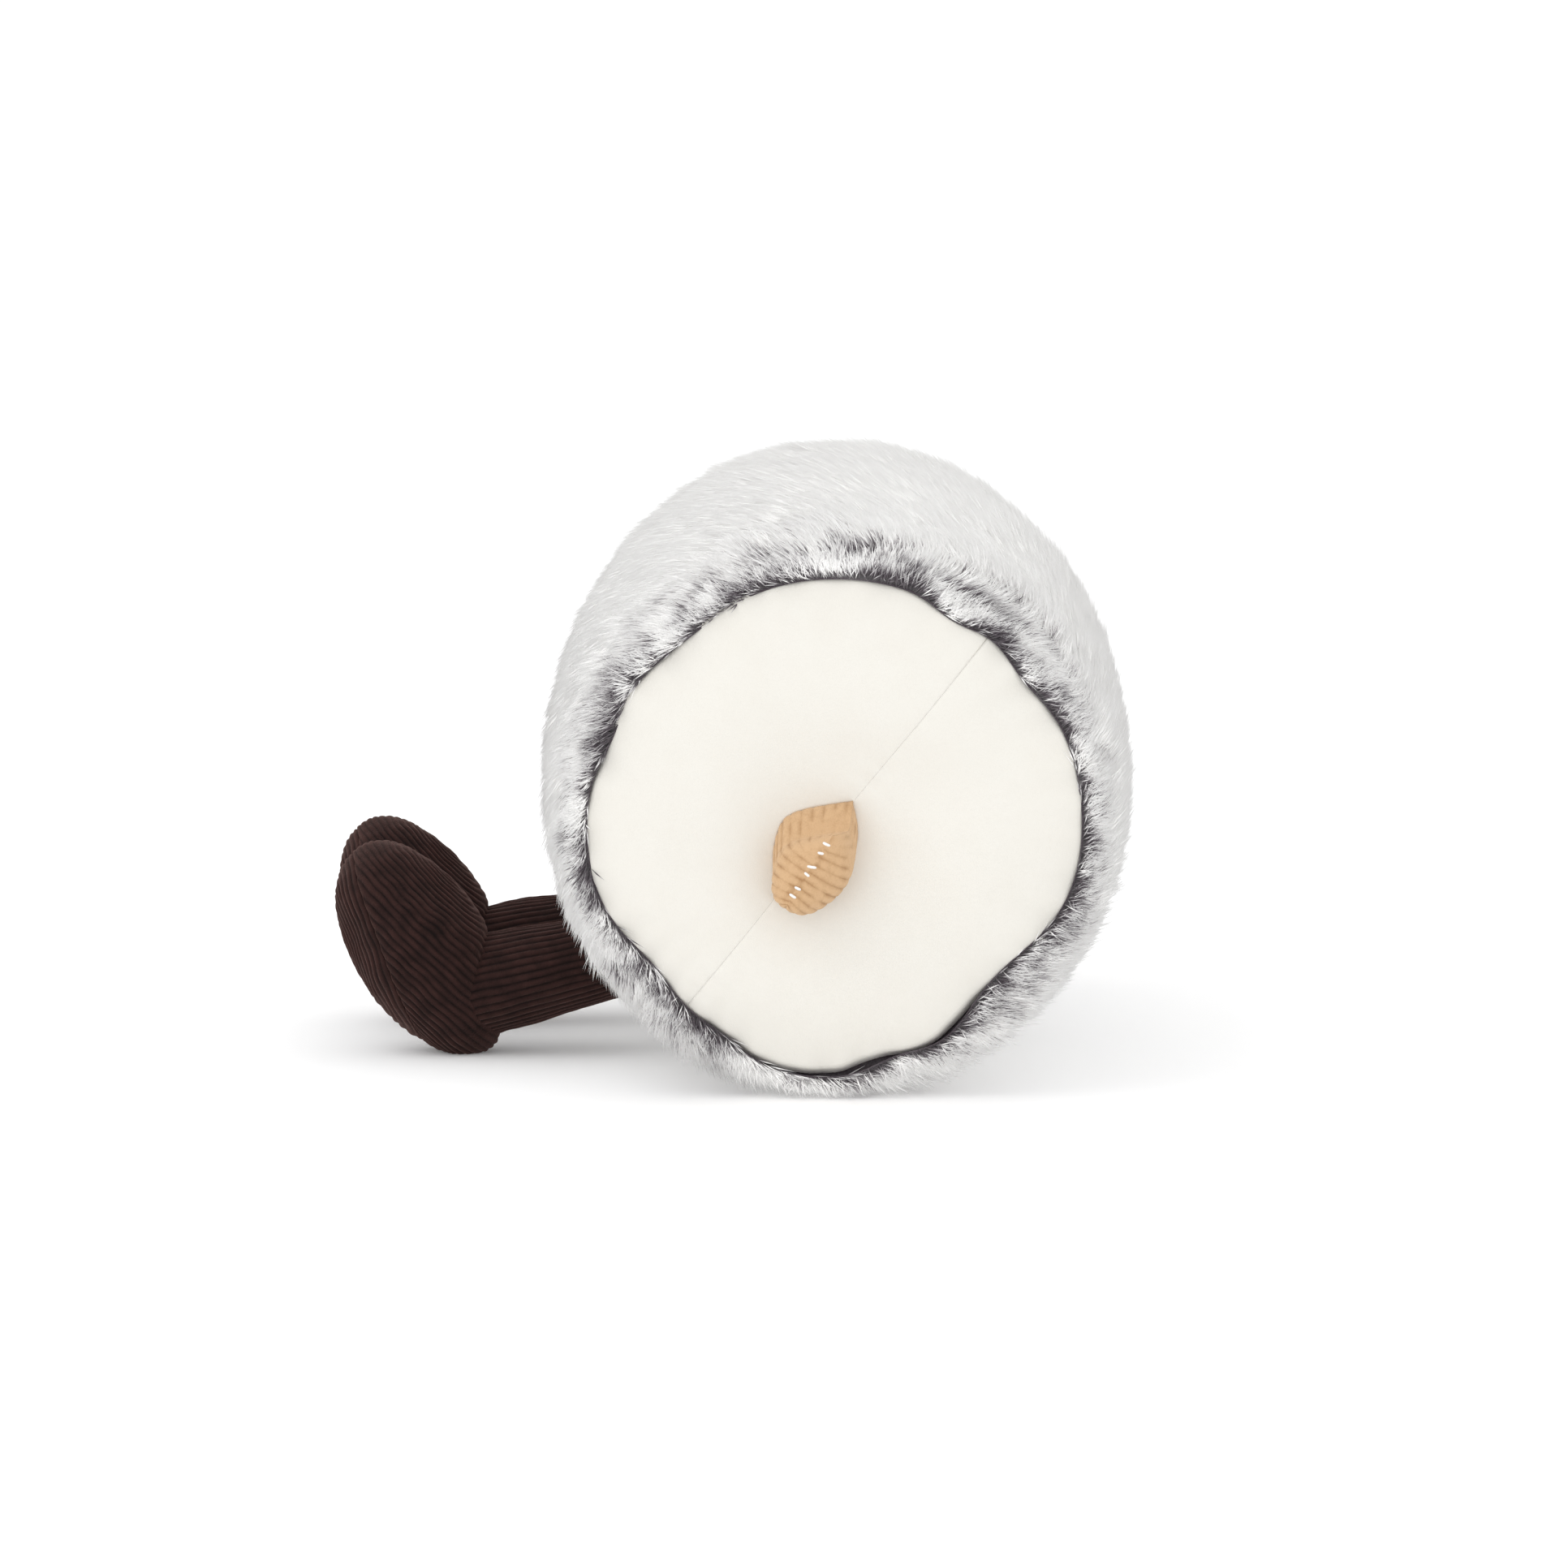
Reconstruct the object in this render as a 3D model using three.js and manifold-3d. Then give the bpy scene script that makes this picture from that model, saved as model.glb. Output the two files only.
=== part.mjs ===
// A soft toy in the form of a log of ash-coated goat's cheese, lying on a flat seat.
// Millimetres, +Z up. The log runs along X, and the legs reach forward along -Y.
// The toy's left is +X. The origin is the middle of the flat seat under the log.

import * as THREE from 'three';
import { mergeVertices } from 'three/addons/utils/BufferGeometryUtils.js';
import Module from 'manifold-3d';

const wasm = await Module();
wasm.setup();

// ---------- driving dimensions ----------

const clearance = 0.3; // between pieces that touch

// log: round at its rims, swollen at mid-length and pressed flat underneath
const logLength = 172;
const rimRadius = 60; // outer face of the sleeve
const rimPress = 1.2; // how far the rim is pressed up by the ground
const bellySwell = 5.4; // past the rim radius, forward and back
const bellyRise = 11.3; // past the rim radius, up
const bellySag = 5; // past the rim radius, down, before it is pressed
const bellyPress = 3; // how far the belly is pressed up by the ground
const sleeveWall = 5; // backing cloth and its flattened pile
const rimRollLength = 7; // length over which the sleeve turns in to the end seam
const rimRollDepth = 6;
const rimLip = 0.9; // thickness of the sleeve's edge at the seam
const leastFlatAngle = THREE.MathUtils.degToRad(5); // half of the narrowest flat underneath

// round end panels, each sewn from two halves
const panelThickness = 3;
const panelSeamInset = 3; // from the end of the log to the panel's edge
const panelCrown = 2.4; // how far the panel swells past its edge
const panelCrownRadius = 33;
const panelDimple = 2.2; // how far the middle is pulled in from the edge
const panelSeamAngle = THREE.MathUtils.degToRad(51); // above the -Y to +Y line

// straw stub in the middle of each end panel
const strawHalfLength = 10.6;
const strawHalfWidth = 7.6;
const strawWall = 1.6;
const strawReach = 10.5; // past the end of the log
const strawTail = 1.8; // inside the panel's dimple
const strawRootOffset = new THREE.Vector2(-2.2, -2.6); // along Y and Z from the panel's middle
const strawDroop = new THREE.Vector2(-3.3, -6.2); // along Y and Z from root to tip
const strawTipRound = 5; // length over which the tip closes
const strawAngle = THREE.MathUtils.degToRad(57);

// weight pouch
const pouchHalfLength = 48;
const pouchHalfDepth = 28;
const pouchHalfHeight = 10;
const pouchRise = 1.5; // from the sleeve's inner face to the pouch

// legs
const legSpacing = 43; // between the middles of the two legs
const legAnkleHeight = 23.8;
const legHipHeight = 16.4;
const legAnkleWidth = 20;
const legHipWidth = 18;
const legWall = 1.6;
const legOut = 18.6; // from the front of the belly to the leg's end inside the foot
const legSink = 24.4; // from the front of the belly to the leg's end inside the log
const ankleLift = 1.9; // from the ground to the leg's underside inside the foot
const hipRise = 24.3; // height of the leg's middle inside the log
const rightLegReach = 2.3; // how much further forward the right leg lies

// feet
const footHalfLength = 26.7; // heel to toe
const footHalfThickness = 14.2; // sole to instep
const footHalfWidth = 13.5;
const footWall = 1.6;
const footLean = THREE.MathUtils.degToRad(32); // toe forward from upright
const footFlat = 1.2; // how much the heel is pressed flat
const footAhead = 9; // from the leg's end to the middle of the foot
const soleSeamOffset = 7.7; // from the foot's middle to the seam, towards the sole
const soleSeamTilt = THREE.MathUtils.degToRad(-12); // towards the instep at the toe
const ankleOpeningWall = 1.4; // between the leg's filling and the way into the foot

// ---------- sizes that follow ----------

const halfLog = logLength / 2;
const barrelEnd = halfLog - rimRollLength;
const mouthRadius = rimRadius - rimRollDepth - rimLip;
const panelRadius = mouthRadius - clearance;
const panelEdge = halfLog - panelSeamInset;
const panelCentreHeight = rimRadius - rimPress;
const strawRoot = panelEdge - panelDimple - panelThickness - strawTail;
const strawTip = halfLog + strawReach;
const pouchMiddle = sleeveWall + pouchRise + pouchHalfHeight;
const ankleRise = ankleLift + legAnkleHeight / 2;
const ankleReach = rimRadius + bellySwell + legOut;
const hipReach = rimRadius + bellySwell - legSink;
const footReach = ankleReach + footAhead;
const ankleOpening = legAnkleWidth / 2 - legWall - ankleOpeningWall;

// ---------- finishes ----------

const ashPile = { color: 0xe2e0de, roughness: 0.95, metalness: 0 };
const creamVelour = { color: 0xf8f3ea, roughness: 0.9, metalness: 0 };
const strawCord = { color: 0xe3c29e, roughness: 0.9, metalness: 0 };
const brownCord = { color: 0x38231f, roughness: 0.92, metalness: 0 };
const fibre = { color: 0xf4f4f2, roughness: 1, metalness: 0 };
const pouchCloth = { color: 0xe8e4da, roughness: 0.85, metalness: 0 };

// ---------- solids ----------

const toy = new THREE.Group();

/** Turns a closed three.js geometry into a manifold-3d solid. */
function toSolid(geometry) {
  const bare = new THREE.BufferGeometry();
  const source = geometry.index ? geometry.toNonIndexed() : geometry;
  bare.setAttribute('position', source.getAttribute('position').clone());
  const merged = mergeVertices(bare, 1e-4);
  return new wasm.Manifold(new wasm.Mesh({
    numProp: 3,
    vertProperties: new Float32Array(merged.getAttribute('position').array),
    triVerts: new Uint32Array(merged.index.array),
  }));
}

/** Turns a manifold-3d solid back into a three.js geometry. */
function toGeometry(solid) {
  const { numProp, vertProperties, triVerts } = solid.getMesh();
  const corners = vertProperties.length / numProp;
  const positions = new Float32Array(corners * 3);
  for (let i = 0; i < corners; i += 1) {
    positions.set(vertProperties.subarray(i * numProp, i * numProp + 3), i * 3);
  }
  const geometry = new THREE.BufferGeometry();
  geometry.setAttribute('position', new THREE.BufferAttribute(positions, 3));
  geometry.setIndex(new THREE.BufferAttribute(new Uint32Array(triVerts), 1));
  return geometry;
}

/** Adds one named piece to the toy. */
function addPiece(name, solid, finish) {
  const mesh = new THREE.Mesh(toGeometry(solid), new THREE.MeshStandardMaterial(finish));
  mesh.name = name;
  toy.add(mesh);
}

/** Signed volume of a triangle list, positive where its faces point out. */
function signedVolume(points, triangles) {
  let sum = 0;
  for (let i = 0; i < triangles.length; i += 3) {
    const [a, b, c] = [points[triangles[i]], points[triangles[i + 1]], points[triangles[i + 2]]];
    sum += a.dot(b.clone().cross(c)) / 6;
  }
  return sum;
}

/** Skins equal rings of points into one closed solid with flat ends. */
function loft(rings) {
  const around = rings[0].length;
  const points = rings.flat();
  const triangles = [];
  for (let ring = 0; ring < rings.length - 1; ring += 1) {
    for (let step = 0; step < around; step += 1) {
      const here = ring * around + step;
      const next = ring * around + ((step + 1) % around);
      triangles.push(here, next, next + around, here, next + around, here + around);
    }
  }
  const addCap = (ring, reversed) => {
    const middle = new THREE.Vector3();
    rings[ring].forEach((point) => middle.add(point));
    points.push(middle.divideScalar(around));
    for (let step = 0; step < around; step += 1) {
      const here = ring * around + step;
      const next = ring * around + ((step + 1) % around);
      triangles.push(points.length - 1, reversed ? next : here, reversed ? here : next);
    }
  };
  addCap(0, true);
  addCap(rings.length - 1, false);
  if (signedVolume(points, triangles) < 0) {
    triangles.reverse();
  }
  const geometry = new THREE.BufferGeometry();
  geometry.setFromPoints(points);
  geometry.setIndex(triangles);
  return toSolid(geometry);
}

/** A box-shaped solid between two corners. */
function block(low, high) {
  const size = high.clone().sub(low);
  const geometry = new THREE.BoxGeometry(size.x, size.y, size.z);
  const middle = low.clone().add(high).divideScalar(2);
  return toSolid(geometry.translate(middle.x, middle.y, middle.z));
}

/** The toy's two sides, with how much further forward each one's leg lies. */
const sides = [
  { name: 'left', sign: 1, legReach: 0 },
  { name: 'right', sign: -1, legReach: rightLegReach },
];

// ---------- the log ----------

/** Share of the belly's swell at a place along the log: 1 in the middle, 0 at the rims. */
function swell(x) {
  const along = Math.min(Math.abs(x) / barrelEnd, 1);
  return 1 - along * along;
}

/** How far the sleeve has turned in at a place along the log. */
function rimRoll(x) {
  const past = THREE.MathUtils.clamp((Math.abs(x) - barrelEnd) / rimRollLength, 0, 1);
  return rimRollDepth * (1 - Math.sqrt(1 - past * past));
}

/** Height at which the log is widest, at a place along it. */
function axisHeight(x) {
  const belly = rimRadius + bellySag - bellyPress;
  return THREE.MathUtils.lerp(panelCentreHeight, belly, swell(x));
}

/** One cross-section of the log, pressed flat underneath and grown or shrunk by an offset. */
function logRing(x, offset, roll = rimRoll(x), around = 44) {
  const size = (past) => rimRadius + past * swell(x) - roll + offset;
  const halfDepth = size(bellySwell);
  const rise = size(bellyRise);
  const sag = size(bellySag);
  const middle = axisHeight(x);
  const underside = Math.max(-offset, middle - sag * Math.cos(leastFlatAngle));
  const flat = Math.acos((middle - underside) / sag);
  const ring = [];
  for (let step = 0; step <= around; step += 1) {
    const angle = THREE.MathUtils.lerp(flat - Math.PI / 2, 1.5 * Math.PI - flat, step / around);
    ring.push(new THREE.Vector3(
      x,
      halfDepth * Math.cos(angle),
      middle + (Math.sin(angle) > 0 ? rise : sag) * Math.sin(angle),
    ));
  }
  return ring;
}

/** Places along the log, mirrored about its middle. */
function mirrored(stations) {
  return [...stations.map((x) => -x).reverse(), 0, ...stations];
}

/** Places along the barrel in equal steps, out to its end. */
function barrelStations(steps, end) {
  return Array.from({ length: steps }, (_, step) => ((step + 1) * end) / steps);
}

/** The log's outer form, grown by an offset. */
function logForm(offset) {
  const rollSteps = 4;
  const roll = Array.from({ length: rollSteps }, (_, step) => {
    const turn = ((step + 1) / rollSteps) * (Math.PI / 2);
    return barrelEnd + rimRollLength * Math.sin(turn);
  });
  const stations = mirrored([...barrelStations(5, barrelEnd), ...roll]);
  return loft(stations.map((x) => logRing(x, offset)));
}

/** The way through the sleeve, with a round mouth for each end panel. */
function sleeveHollow() {
  const mouthRoll = rimRadius - sleeveWall - mouthRadius;
  const mouth = [barrelEnd + 2, halfLog + 1];
  const rings = mirrored([...barrelStations(3, barrelEnd), ...mouth]).map((x) => {
    const roll = Math.abs(x) > barrelEnd ? mouthRoll : 0;
    return logRing(x, -sleeveWall, roll);
  });
  return loft(rings);
}

function buildSleeve() {
  addPiece('rind_sleeve', logForm(0).subtract(sleeveHollow()), ashPile);
}

// ---------- straw stubs ----------

/** A pointed oval section of the straw, lying across the log's axis. */
function strawRing(x, centre, halfLength, halfWidth, sign) {
  const around = 20;
  const long = new THREE.Vector2(Math.cos(strawAngle), Math.sin(strawAngle));
  const ring = [];
  for (let step = 0; step < around; step += 1) {
    const angle = (step / around) * 2 * Math.PI;
    const along = halfLength * Math.cos(angle);
    const across = halfWidth * Math.sin(angle) * Math.abs(Math.sin(angle)) ** 0.25;
    ring.push(new THREE.Vector3(
      sign * x,
      centre.x + along * long.x - across * long.y,
      centre.y + along * long.y + across * long.x,
    ));
  }
  return ring;
}

/** The straw's form, grown by an offset, from its root to a stated share of its tip. */
function strawForm(sign, offset, rootExtra = 0) {
  const root = strawRoot - rootExtra;
  const shoulder = strawTip - strawTipRound;
  const closing = [0.35, 0.65, 0.88, 1];
  const places = [
    { x: root, size: 1 },
    { x: (root + shoulder) / 2, size: 1 },
    { x: shoulder, size: 1 },
    ...closing.map((share) => ({
      x: shoulder + (strawTipRound + offset) * share,
      size: Math.sqrt(1 - (0.9 * share) ** 2),
    })),
  ];
  const panelMiddle = new THREE.Vector2(0, panelCentreHeight);
  return loft(places.map(({ x, size }) => {
    const along = Math.max((x - panelEdge) / (strawTip - panelEdge), 0);
    const centre = panelMiddle.clone().add(strawRootOffset).addScaledVector(strawDroop, along);
    const halfLength = (strawHalfLength + offset) * size;
    const halfWidth = (strawHalfWidth + offset) * size;
    return strawRing(x, centre, halfLength, halfWidth, sign);
  }));
}

function buildStraw({ name, sign }) {
  const skin = strawForm(sign, 0);
  const hollow = strawForm(sign, -strawWall, 1);
  addPiece(`${name}_straw_cover`, skin.subtract(hollow), strawCord);
  addPiece(`${name}_straw_filling`, strawForm(sign, -strawWall - clearance), fibre);
}

// ---------- end panels ----------

/** How far the panel's outer face stands past its edge at a radius. */
function panelFace(radius) {
  const share = radius / panelCrownRadius;
  if (share < 1) {
    return THREE.MathUtils.lerp(-panelDimple, panelCrown, 0.5 - 0.5 * Math.cos(Math.PI * share));
  }
  const outer = (radius - panelCrownRadius) / (panelRadius - panelCrownRadius);
  return panelCrown * (1 - outer * outer);
}

/** The whole round panel of one end, before it is cut in two. */
function panelDisc(sign) {
  const dimpled = [0, 1 / 3, 2 / 3].map((share) => share * panelCrownRadius);
  const crowned = [0, 0.5, 0.8, 1].map(
    (share) => THREE.MathUtils.lerp(panelCrownRadius, panelRadius, share),
  );
  const front = [...dimpled, ...crowned].map(
    (radius) => new THREE.Vector2(radius, panelEdge + panelFace(radius)),
  );
  const back = front.map((point) => new THREE.Vector2(point.x, point.y - panelThickness));
  const geometry = new THREE.LatheGeometry([...back, ...front.reverse()], 44);
  geometry.rotateX(Math.PI / 2);
  geometry.rotateY((sign * Math.PI) / 2);
  geometry.translate(0, 0, panelCentreHeight);
  return toSolid(geometry);
}

/** The space above (+1) or below (-1) the panel's seam, set back by half the clearance. */
function seamSide(face) {
  const reach = 2 * logLength;
  const geometry = new THREE.BoxGeometry(reach, reach, reach);
  geometry.translate(0, 0, (face * (reach + clearance)) / 2);
  geometry.rotateX(panelSeamAngle);
  geometry.translate(0, 0, panelCentreHeight);
  return toSolid(geometry);
}

function buildPanel({ name, sign }) {
  const disc = panelDisc(sign).subtract(strawForm(sign, clearance, 1));
  addPiece(`${name}_end_panel_upper`, disc.intersect(seamSide(1)), creamVelour);
  addPiece(`${name}_end_panel_lower`, disc.intersect(seamSide(-1)), creamVelour);
}

// ---------- stuffing and weight ----------

/** An ellipsoid with stated half-sizes. */
function ellipsoid(halfX, halfY, halfZ, around = 20, rows = 12) {
  return new THREE.SphereGeometry(1, around, rows).scale(halfX, halfY, halfZ);
}

/** The weight pouch's form, grown by an offset. */
function pouchForm(offset) {
  const geometry = ellipsoid(
    pouchHalfLength + offset,
    pouchHalfDepth + offset,
    pouchHalfHeight + offset,
  );
  return toSolid(geometry.translate(0, 0, pouchMiddle));
}

function buildFilling() {
  const end = strawRoot - clearance;
  const offset = -sleeveWall - clearance;
  const rings = mirrored(barrelStations(3, end)).map((x) => logRing(x, offset, 0, 36));
  const passage = block(
    new THREE.Vector3(-pouchHalfLength / 2, -pouchHalfDepth / 2, 0),
    new THREE.Vector3(pouchHalfLength / 2, pouchHalfDepth / 2, pouchMiddle),
  );
  const pocket = pouchForm(clearance).add(passage);
  addPiece('body_filling', loft(rings).subtract(pocket), fibre);
  addPiece('weight_pouch', pouchForm(0), pouchCloth);
}

// ---------- feet ----------

const footMiddleHeight = footLowest() - footFlat;

/** Height of the foot's middle above the lowest point of its leaning ellipse. */
function footLowest() {
  return Math.hypot(
    footHalfLength * Math.cos(footLean),
    footHalfThickness * Math.sin(footLean),
  );
}

/** Places a foot-shaped geometry: toe up and leaning forward, over its leg. */
function placeFoot(geometry, { sign, legReach }) {
  geometry.rotateX(footLean);
  return geometry.translate((sign * legSpacing) / 2, -footReach - legReach, footMiddleHeight);
}

/** The foot's outer form, grown by an offset and pressed flat on the ground. */
function footForm(side, offset) {
  const geometry = ellipsoid(
    footHalfWidth + offset,
    footHalfThickness + offset,
    footHalfLength + offset,
  );
  const reach = 2 * footReach;
  const above = block(
    new THREE.Vector3(-reach, -reach, -offset),
    new THREE.Vector3(reach, reach, reach),
  );
  return toSolid(placeFoot(geometry, side)).intersect(above);
}

/** The space on the sole's face (-1) or the instep's face (+1) of the foot's seam. */
function soleSide(side, face) {
  const reach = 2 * footHalfLength;
  const geometry = new THREE.BoxGeometry(2 * reach, reach, 2 * reach);
  geometry.translate(0, (face * (reach + clearance)) / 2, 0);
  geometry.rotateX(soleSeamTilt);
  geometry.translate(0, -soleSeamOffset, 0);
  return toSolid(placeFoot(geometry, side));
}

// ---------- legs ----------

/** The two ends of a leg's middle line: inside the foot and inside the log. */
function legEnds({ sign, legReach }) {
  const x = (sign * legSpacing) / 2;
  return {
    ankle: new THREE.Vector3(x, -ankleReach - legReach, ankleRise),
    hip: new THREE.Vector3(x, -hipReach, hipRise),
  };
}

/** The leg's form from inside the foot to inside the log, grown by an offset. */
function legForm(side, offset) {
  const around = 22;
  const { ankle, hip } = legEnds(side);
  const across = new THREE.Vector3(1, 0, 0);
  const up = across.clone().cross(hip.clone().sub(ankle).normalize());
  const rings = [0, 0.5, 1].map((share) => {
    const middle = ankle.clone().lerp(hip, share);
    const halfWidth = THREE.MathUtils.lerp(legAnkleWidth, legHipWidth, share) / 2 + offset;
    const halfHeight = THREE.MathUtils.lerp(legAnkleHeight, legHipHeight, share) / 2 + offset;
    return Array.from({ length: around }, (_, step) => {
      const angle = (step / around) * 2 * Math.PI;
      return middle.clone()
        .addScaledVector(across, halfWidth * Math.cos(angle))
        .addScaledVector(up, halfHeight * Math.sin(angle));
    });
  });
  return loft(rings);
}

/** A round bar along the leg, for the way between leg and foot. */
function ankleBar(side) {
  const { ankle, hip } = legEnds(side);
  const length = ankle.distanceTo(hip);
  const geometry = new THREE.CylinderGeometry(ankleOpening, ankleOpening, length, 20);
  geometry.applyQuaternion(new THREE.Quaternion().setFromUnitVectors(
    new THREE.Vector3(0, 1, 0),
    hip.clone().sub(ankle).normalize(),
  ));
  const middle = ankle.clone().add(hip).divideScalar(2);
  return toSolid(geometry.translate(middle.x, middle.y, middle.z));
}

function buildLeg(side) {
  const log = logForm(clearance);
  const foot = footForm(side, clearance);
  const trim = (form) => form.subtract(foot).subtract(log);
  const hollow = legForm(side, -legWall);
  addPiece(`${side.name}_leg_sleeve`, trim(legForm(side, 0).subtract(hollow)), brownCord);
  addPiece(`${side.name}_leg_filling`, trim(legForm(side, -legWall - clearance)), fibre);
}

function buildFoot(side) {
  const shell = footForm(side, 0).subtract(footForm(side, -footWall));
  const upper = shell.intersect(soleSide(side, 1)).subtract(ankleBar(side));
  addPiece(`${side.name}_foot_upper`, upper, brownCord);
  addPiece(`${side.name}_foot_sole`, shell.intersect(soleSide(side, -1)), brownCord);
  addPiece(`${side.name}_foot_filling`, footForm(side, -footWall - clearance), fibre);
}

// ---------- the toy ----------

buildSleeve();
buildFilling();
sides.forEach(buildPanel);
sides.forEach(buildStraw);
sides.forEach(buildLeg);
sides.forEach(buildFoot);

export default toy;
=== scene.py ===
"""A soft toy in the form of a furry cheese log, dressed in its cloths.

The log lies along X on its pressed underside, and its legs reach forward along -Y.
Every length is in metres, and each class holds the sizes of its own piece.
"""

import logging
import math
from collections.abc import Iterable
from dataclasses import dataclass, field
from enum import Enum

import bmesh
import bpy
import numpy as np
from mathutils import Matrix, Vector


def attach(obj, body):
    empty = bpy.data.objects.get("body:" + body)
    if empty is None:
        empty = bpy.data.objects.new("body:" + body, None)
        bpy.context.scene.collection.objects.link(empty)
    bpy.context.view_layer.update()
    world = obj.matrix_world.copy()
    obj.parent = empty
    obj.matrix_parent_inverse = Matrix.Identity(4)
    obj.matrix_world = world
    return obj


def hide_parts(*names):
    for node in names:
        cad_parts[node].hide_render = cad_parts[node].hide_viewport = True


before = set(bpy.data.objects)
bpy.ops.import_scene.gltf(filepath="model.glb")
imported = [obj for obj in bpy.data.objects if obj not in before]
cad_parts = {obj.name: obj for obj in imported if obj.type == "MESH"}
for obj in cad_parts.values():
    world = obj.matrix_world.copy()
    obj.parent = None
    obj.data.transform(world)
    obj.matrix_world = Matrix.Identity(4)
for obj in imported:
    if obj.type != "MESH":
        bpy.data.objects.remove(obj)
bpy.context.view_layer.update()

LOG = logging.getLogger("toy")
MM = 0.001
TURN = 2 * math.pi
PATTERN_MAP = "OFBake"

Colour = tuple[float, float, float]
Input = bpy.types.NodeSocket | float | int | str | tuple | bpy.types.ID


class End(Enum):
    """The two ends of the log, with the sign of X and how far forward that leg lies."""

    LEFT = ("left", 1, 0.0)
    RIGHT = ("right", -1, 2.3 * MM)

    @property
    def label(self) -> str:
        """The word that the end's pieces are named with."""
        return self.value[0]

    @property
    def sign(self) -> int:
        """The sign of X at this end."""
        return self.value[1]

    @property
    def leg_reach(self) -> float:
        """How much further forward the leg of this end lies."""
        return self.value[2]


class Half(Enum):
    """The two halves of an end panel, with the turn from the seam to the half's first edge."""

    UPPER = ("upper", 0.0)
    LOWER = ("lower", math.pi)

    @property
    def label(self) -> str:
        """The word that the half's piece is named with."""
        return self.value[0]

    @property
    def turn(self) -> float:
        """Angle past the seam at which this half starts."""
        return self.value[1]


# ---------- small helpers ----------


def fade(low: float, high: float, value: np.ndarray) -> np.ndarray:
    """Rises smoothly from 0 at low to 1 at high.

    Args:
        low: Where the rise starts.
        high: Where it ends.
        value: The values to judge.

    Returns:
        The share risen at each value.
    """
    share = np.clip((np.asarray(value) - low) / (high - low), 0.0, 1.0)
    return share * share * (3 - 2 * share)


def mix(low: np.ndarray | float, high: np.ndarray | float, share: np.ndarray | float) -> np.ndarray:
    """The value a share of the way from low to high."""
    return low + (high - low) * share


def ease(share: np.ndarray) -> np.ndarray:
    """A share of a way, slowed at both of its ends."""
    return 0.5 - 0.5 * np.cos(math.pi * share)


def unit(vectors: np.ndarray) -> np.ndarray:
    """The same directions with length 1."""
    return vectors / np.maximum(np.linalg.norm(vectors, axis=-1, keepdims=True), 1e-12)


@dataclass(frozen=True)
class Ripple:
    """Smooth seeded unevenness, made of waves in fixed directions."""

    wavelength: float
    seed: int
    waves: int = 9

    def at(self, points: np.ndarray) -> np.ndarray:
        """The unevenness, mostly between -1 and 1.

        Args:
            points: Places, with their coordinates along the last axis.

        Returns:
            One value for each place.
        """
        draw = np.random.default_rng(self.seed)
        total = np.zeros(points.shape[:-1])
        for _ in range(self.waves):
            heading = unit(draw.normal(size=points.shape[-1]))
            length = self.wavelength * draw.uniform(0.6, 1.6)
            total += np.sin(points @ heading * TURN / length + draw.uniform(0, TURN))
        return total / math.sqrt(self.waves)


def put(name: str, data: bpy.types.ID) -> bpy.types.Object:
    """Puts a mesh, a camera or a light into the scene as an object."""
    holder = bpy.data.objects.new(name, data)
    bpy.context.scene.collection.objects.link(holder)
    return holder


@dataclass
class Patch:
    """One grid of surface points, with the values its cloth reads at each of them."""

    points: np.ndarray
    values: dict[str, np.ndarray] = field(default_factory=dict)
    corner: tuple[float, float] = (0.01, 0.01)
    size: tuple[float, float] = (0.98, 0.98)

    def quads(self, start: int) -> np.ndarray:
        """The grid's faces, numbered from a first point."""
        rows, columns = self.points.shape[:2]
        index = start + np.arange(rows * columns).reshape(rows, columns)
        corners = (index[:-1, :-1], index[1:, :-1], index[1:, 1:], index[:-1, 1:])
        return np.stack(corners, axis=-1).reshape(-1, 4)

    def layout(self) -> np.ndarray:
        """Where each point lies on the piece's pattern map."""
        rows, columns = self.points.shape[:2]
        across = self.corner[0] + self.size[0] * np.linspace(0, 1, columns)
        along = self.corner[1] + self.size[1] * np.linspace(0, 1, rows)
        return np.stack(np.meshgrid(across, along), axis=-1).reshape(-1, 2)


def sew(name: str, patches: list[Patch], closed: bool = True) -> bpy.types.Object:
    """Joins patches into one mesh object.

    Args:
        name: The object's name.
        patches: Grids that meet along their edges.
        closed: Whether they close, so that doubles are merged and faces turned outwards.

    Returns:
        The object, linked into the scene.
    """
    starts = np.cumsum([0] + [patch.points[..., 0].size for patch in patches])
    points = np.concatenate([patch.points.reshape(-1, 3) for patch in patches])
    faces = np.concatenate([patch.quads(start) for patch, start in zip(patches, starts)])
    layout = np.concatenate([patch.layout() for patch in patches])
    mesh = bpy.data.meshes.new(name)
    mesh.from_pydata(points.tolist(), [], faces.tolist())
    pattern = mesh.uv_layers.new(name=PATTERN_MAP)
    pattern.data.foreach_set("uv", layout[faces.reshape(-1)].ravel())
    for key in patches[0].values:
        width = 3 if patches[0].values[key].ndim == 3 else 1
        kind, slot_name = ("FLOAT_VECTOR", "vector") if width == 3 else ("FLOAT", "value")
        data = np.concatenate([patch.values[key].reshape(-1, width) for patch in patches])
        mesh.attributes.new(key, kind, "POINT").data.foreach_set(slot_name, data.ravel())
    if closed:
        shell = bmesh.new()
        shell.from_mesh(mesh)
        bmesh.ops.remove_doubles(shell, verts=shell.verts, dist=2e-6)
        bmesh.ops.dissolve_degenerate(shell, edges=shell.edges, dist=1e-7)
        bmesh.ops.recalc_face_normals(shell, faces=shell.faces)
        shell.to_mesh(mesh)
        shell.free()
    mesh.shade_smooth()
    return put(name, mesh)


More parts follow.
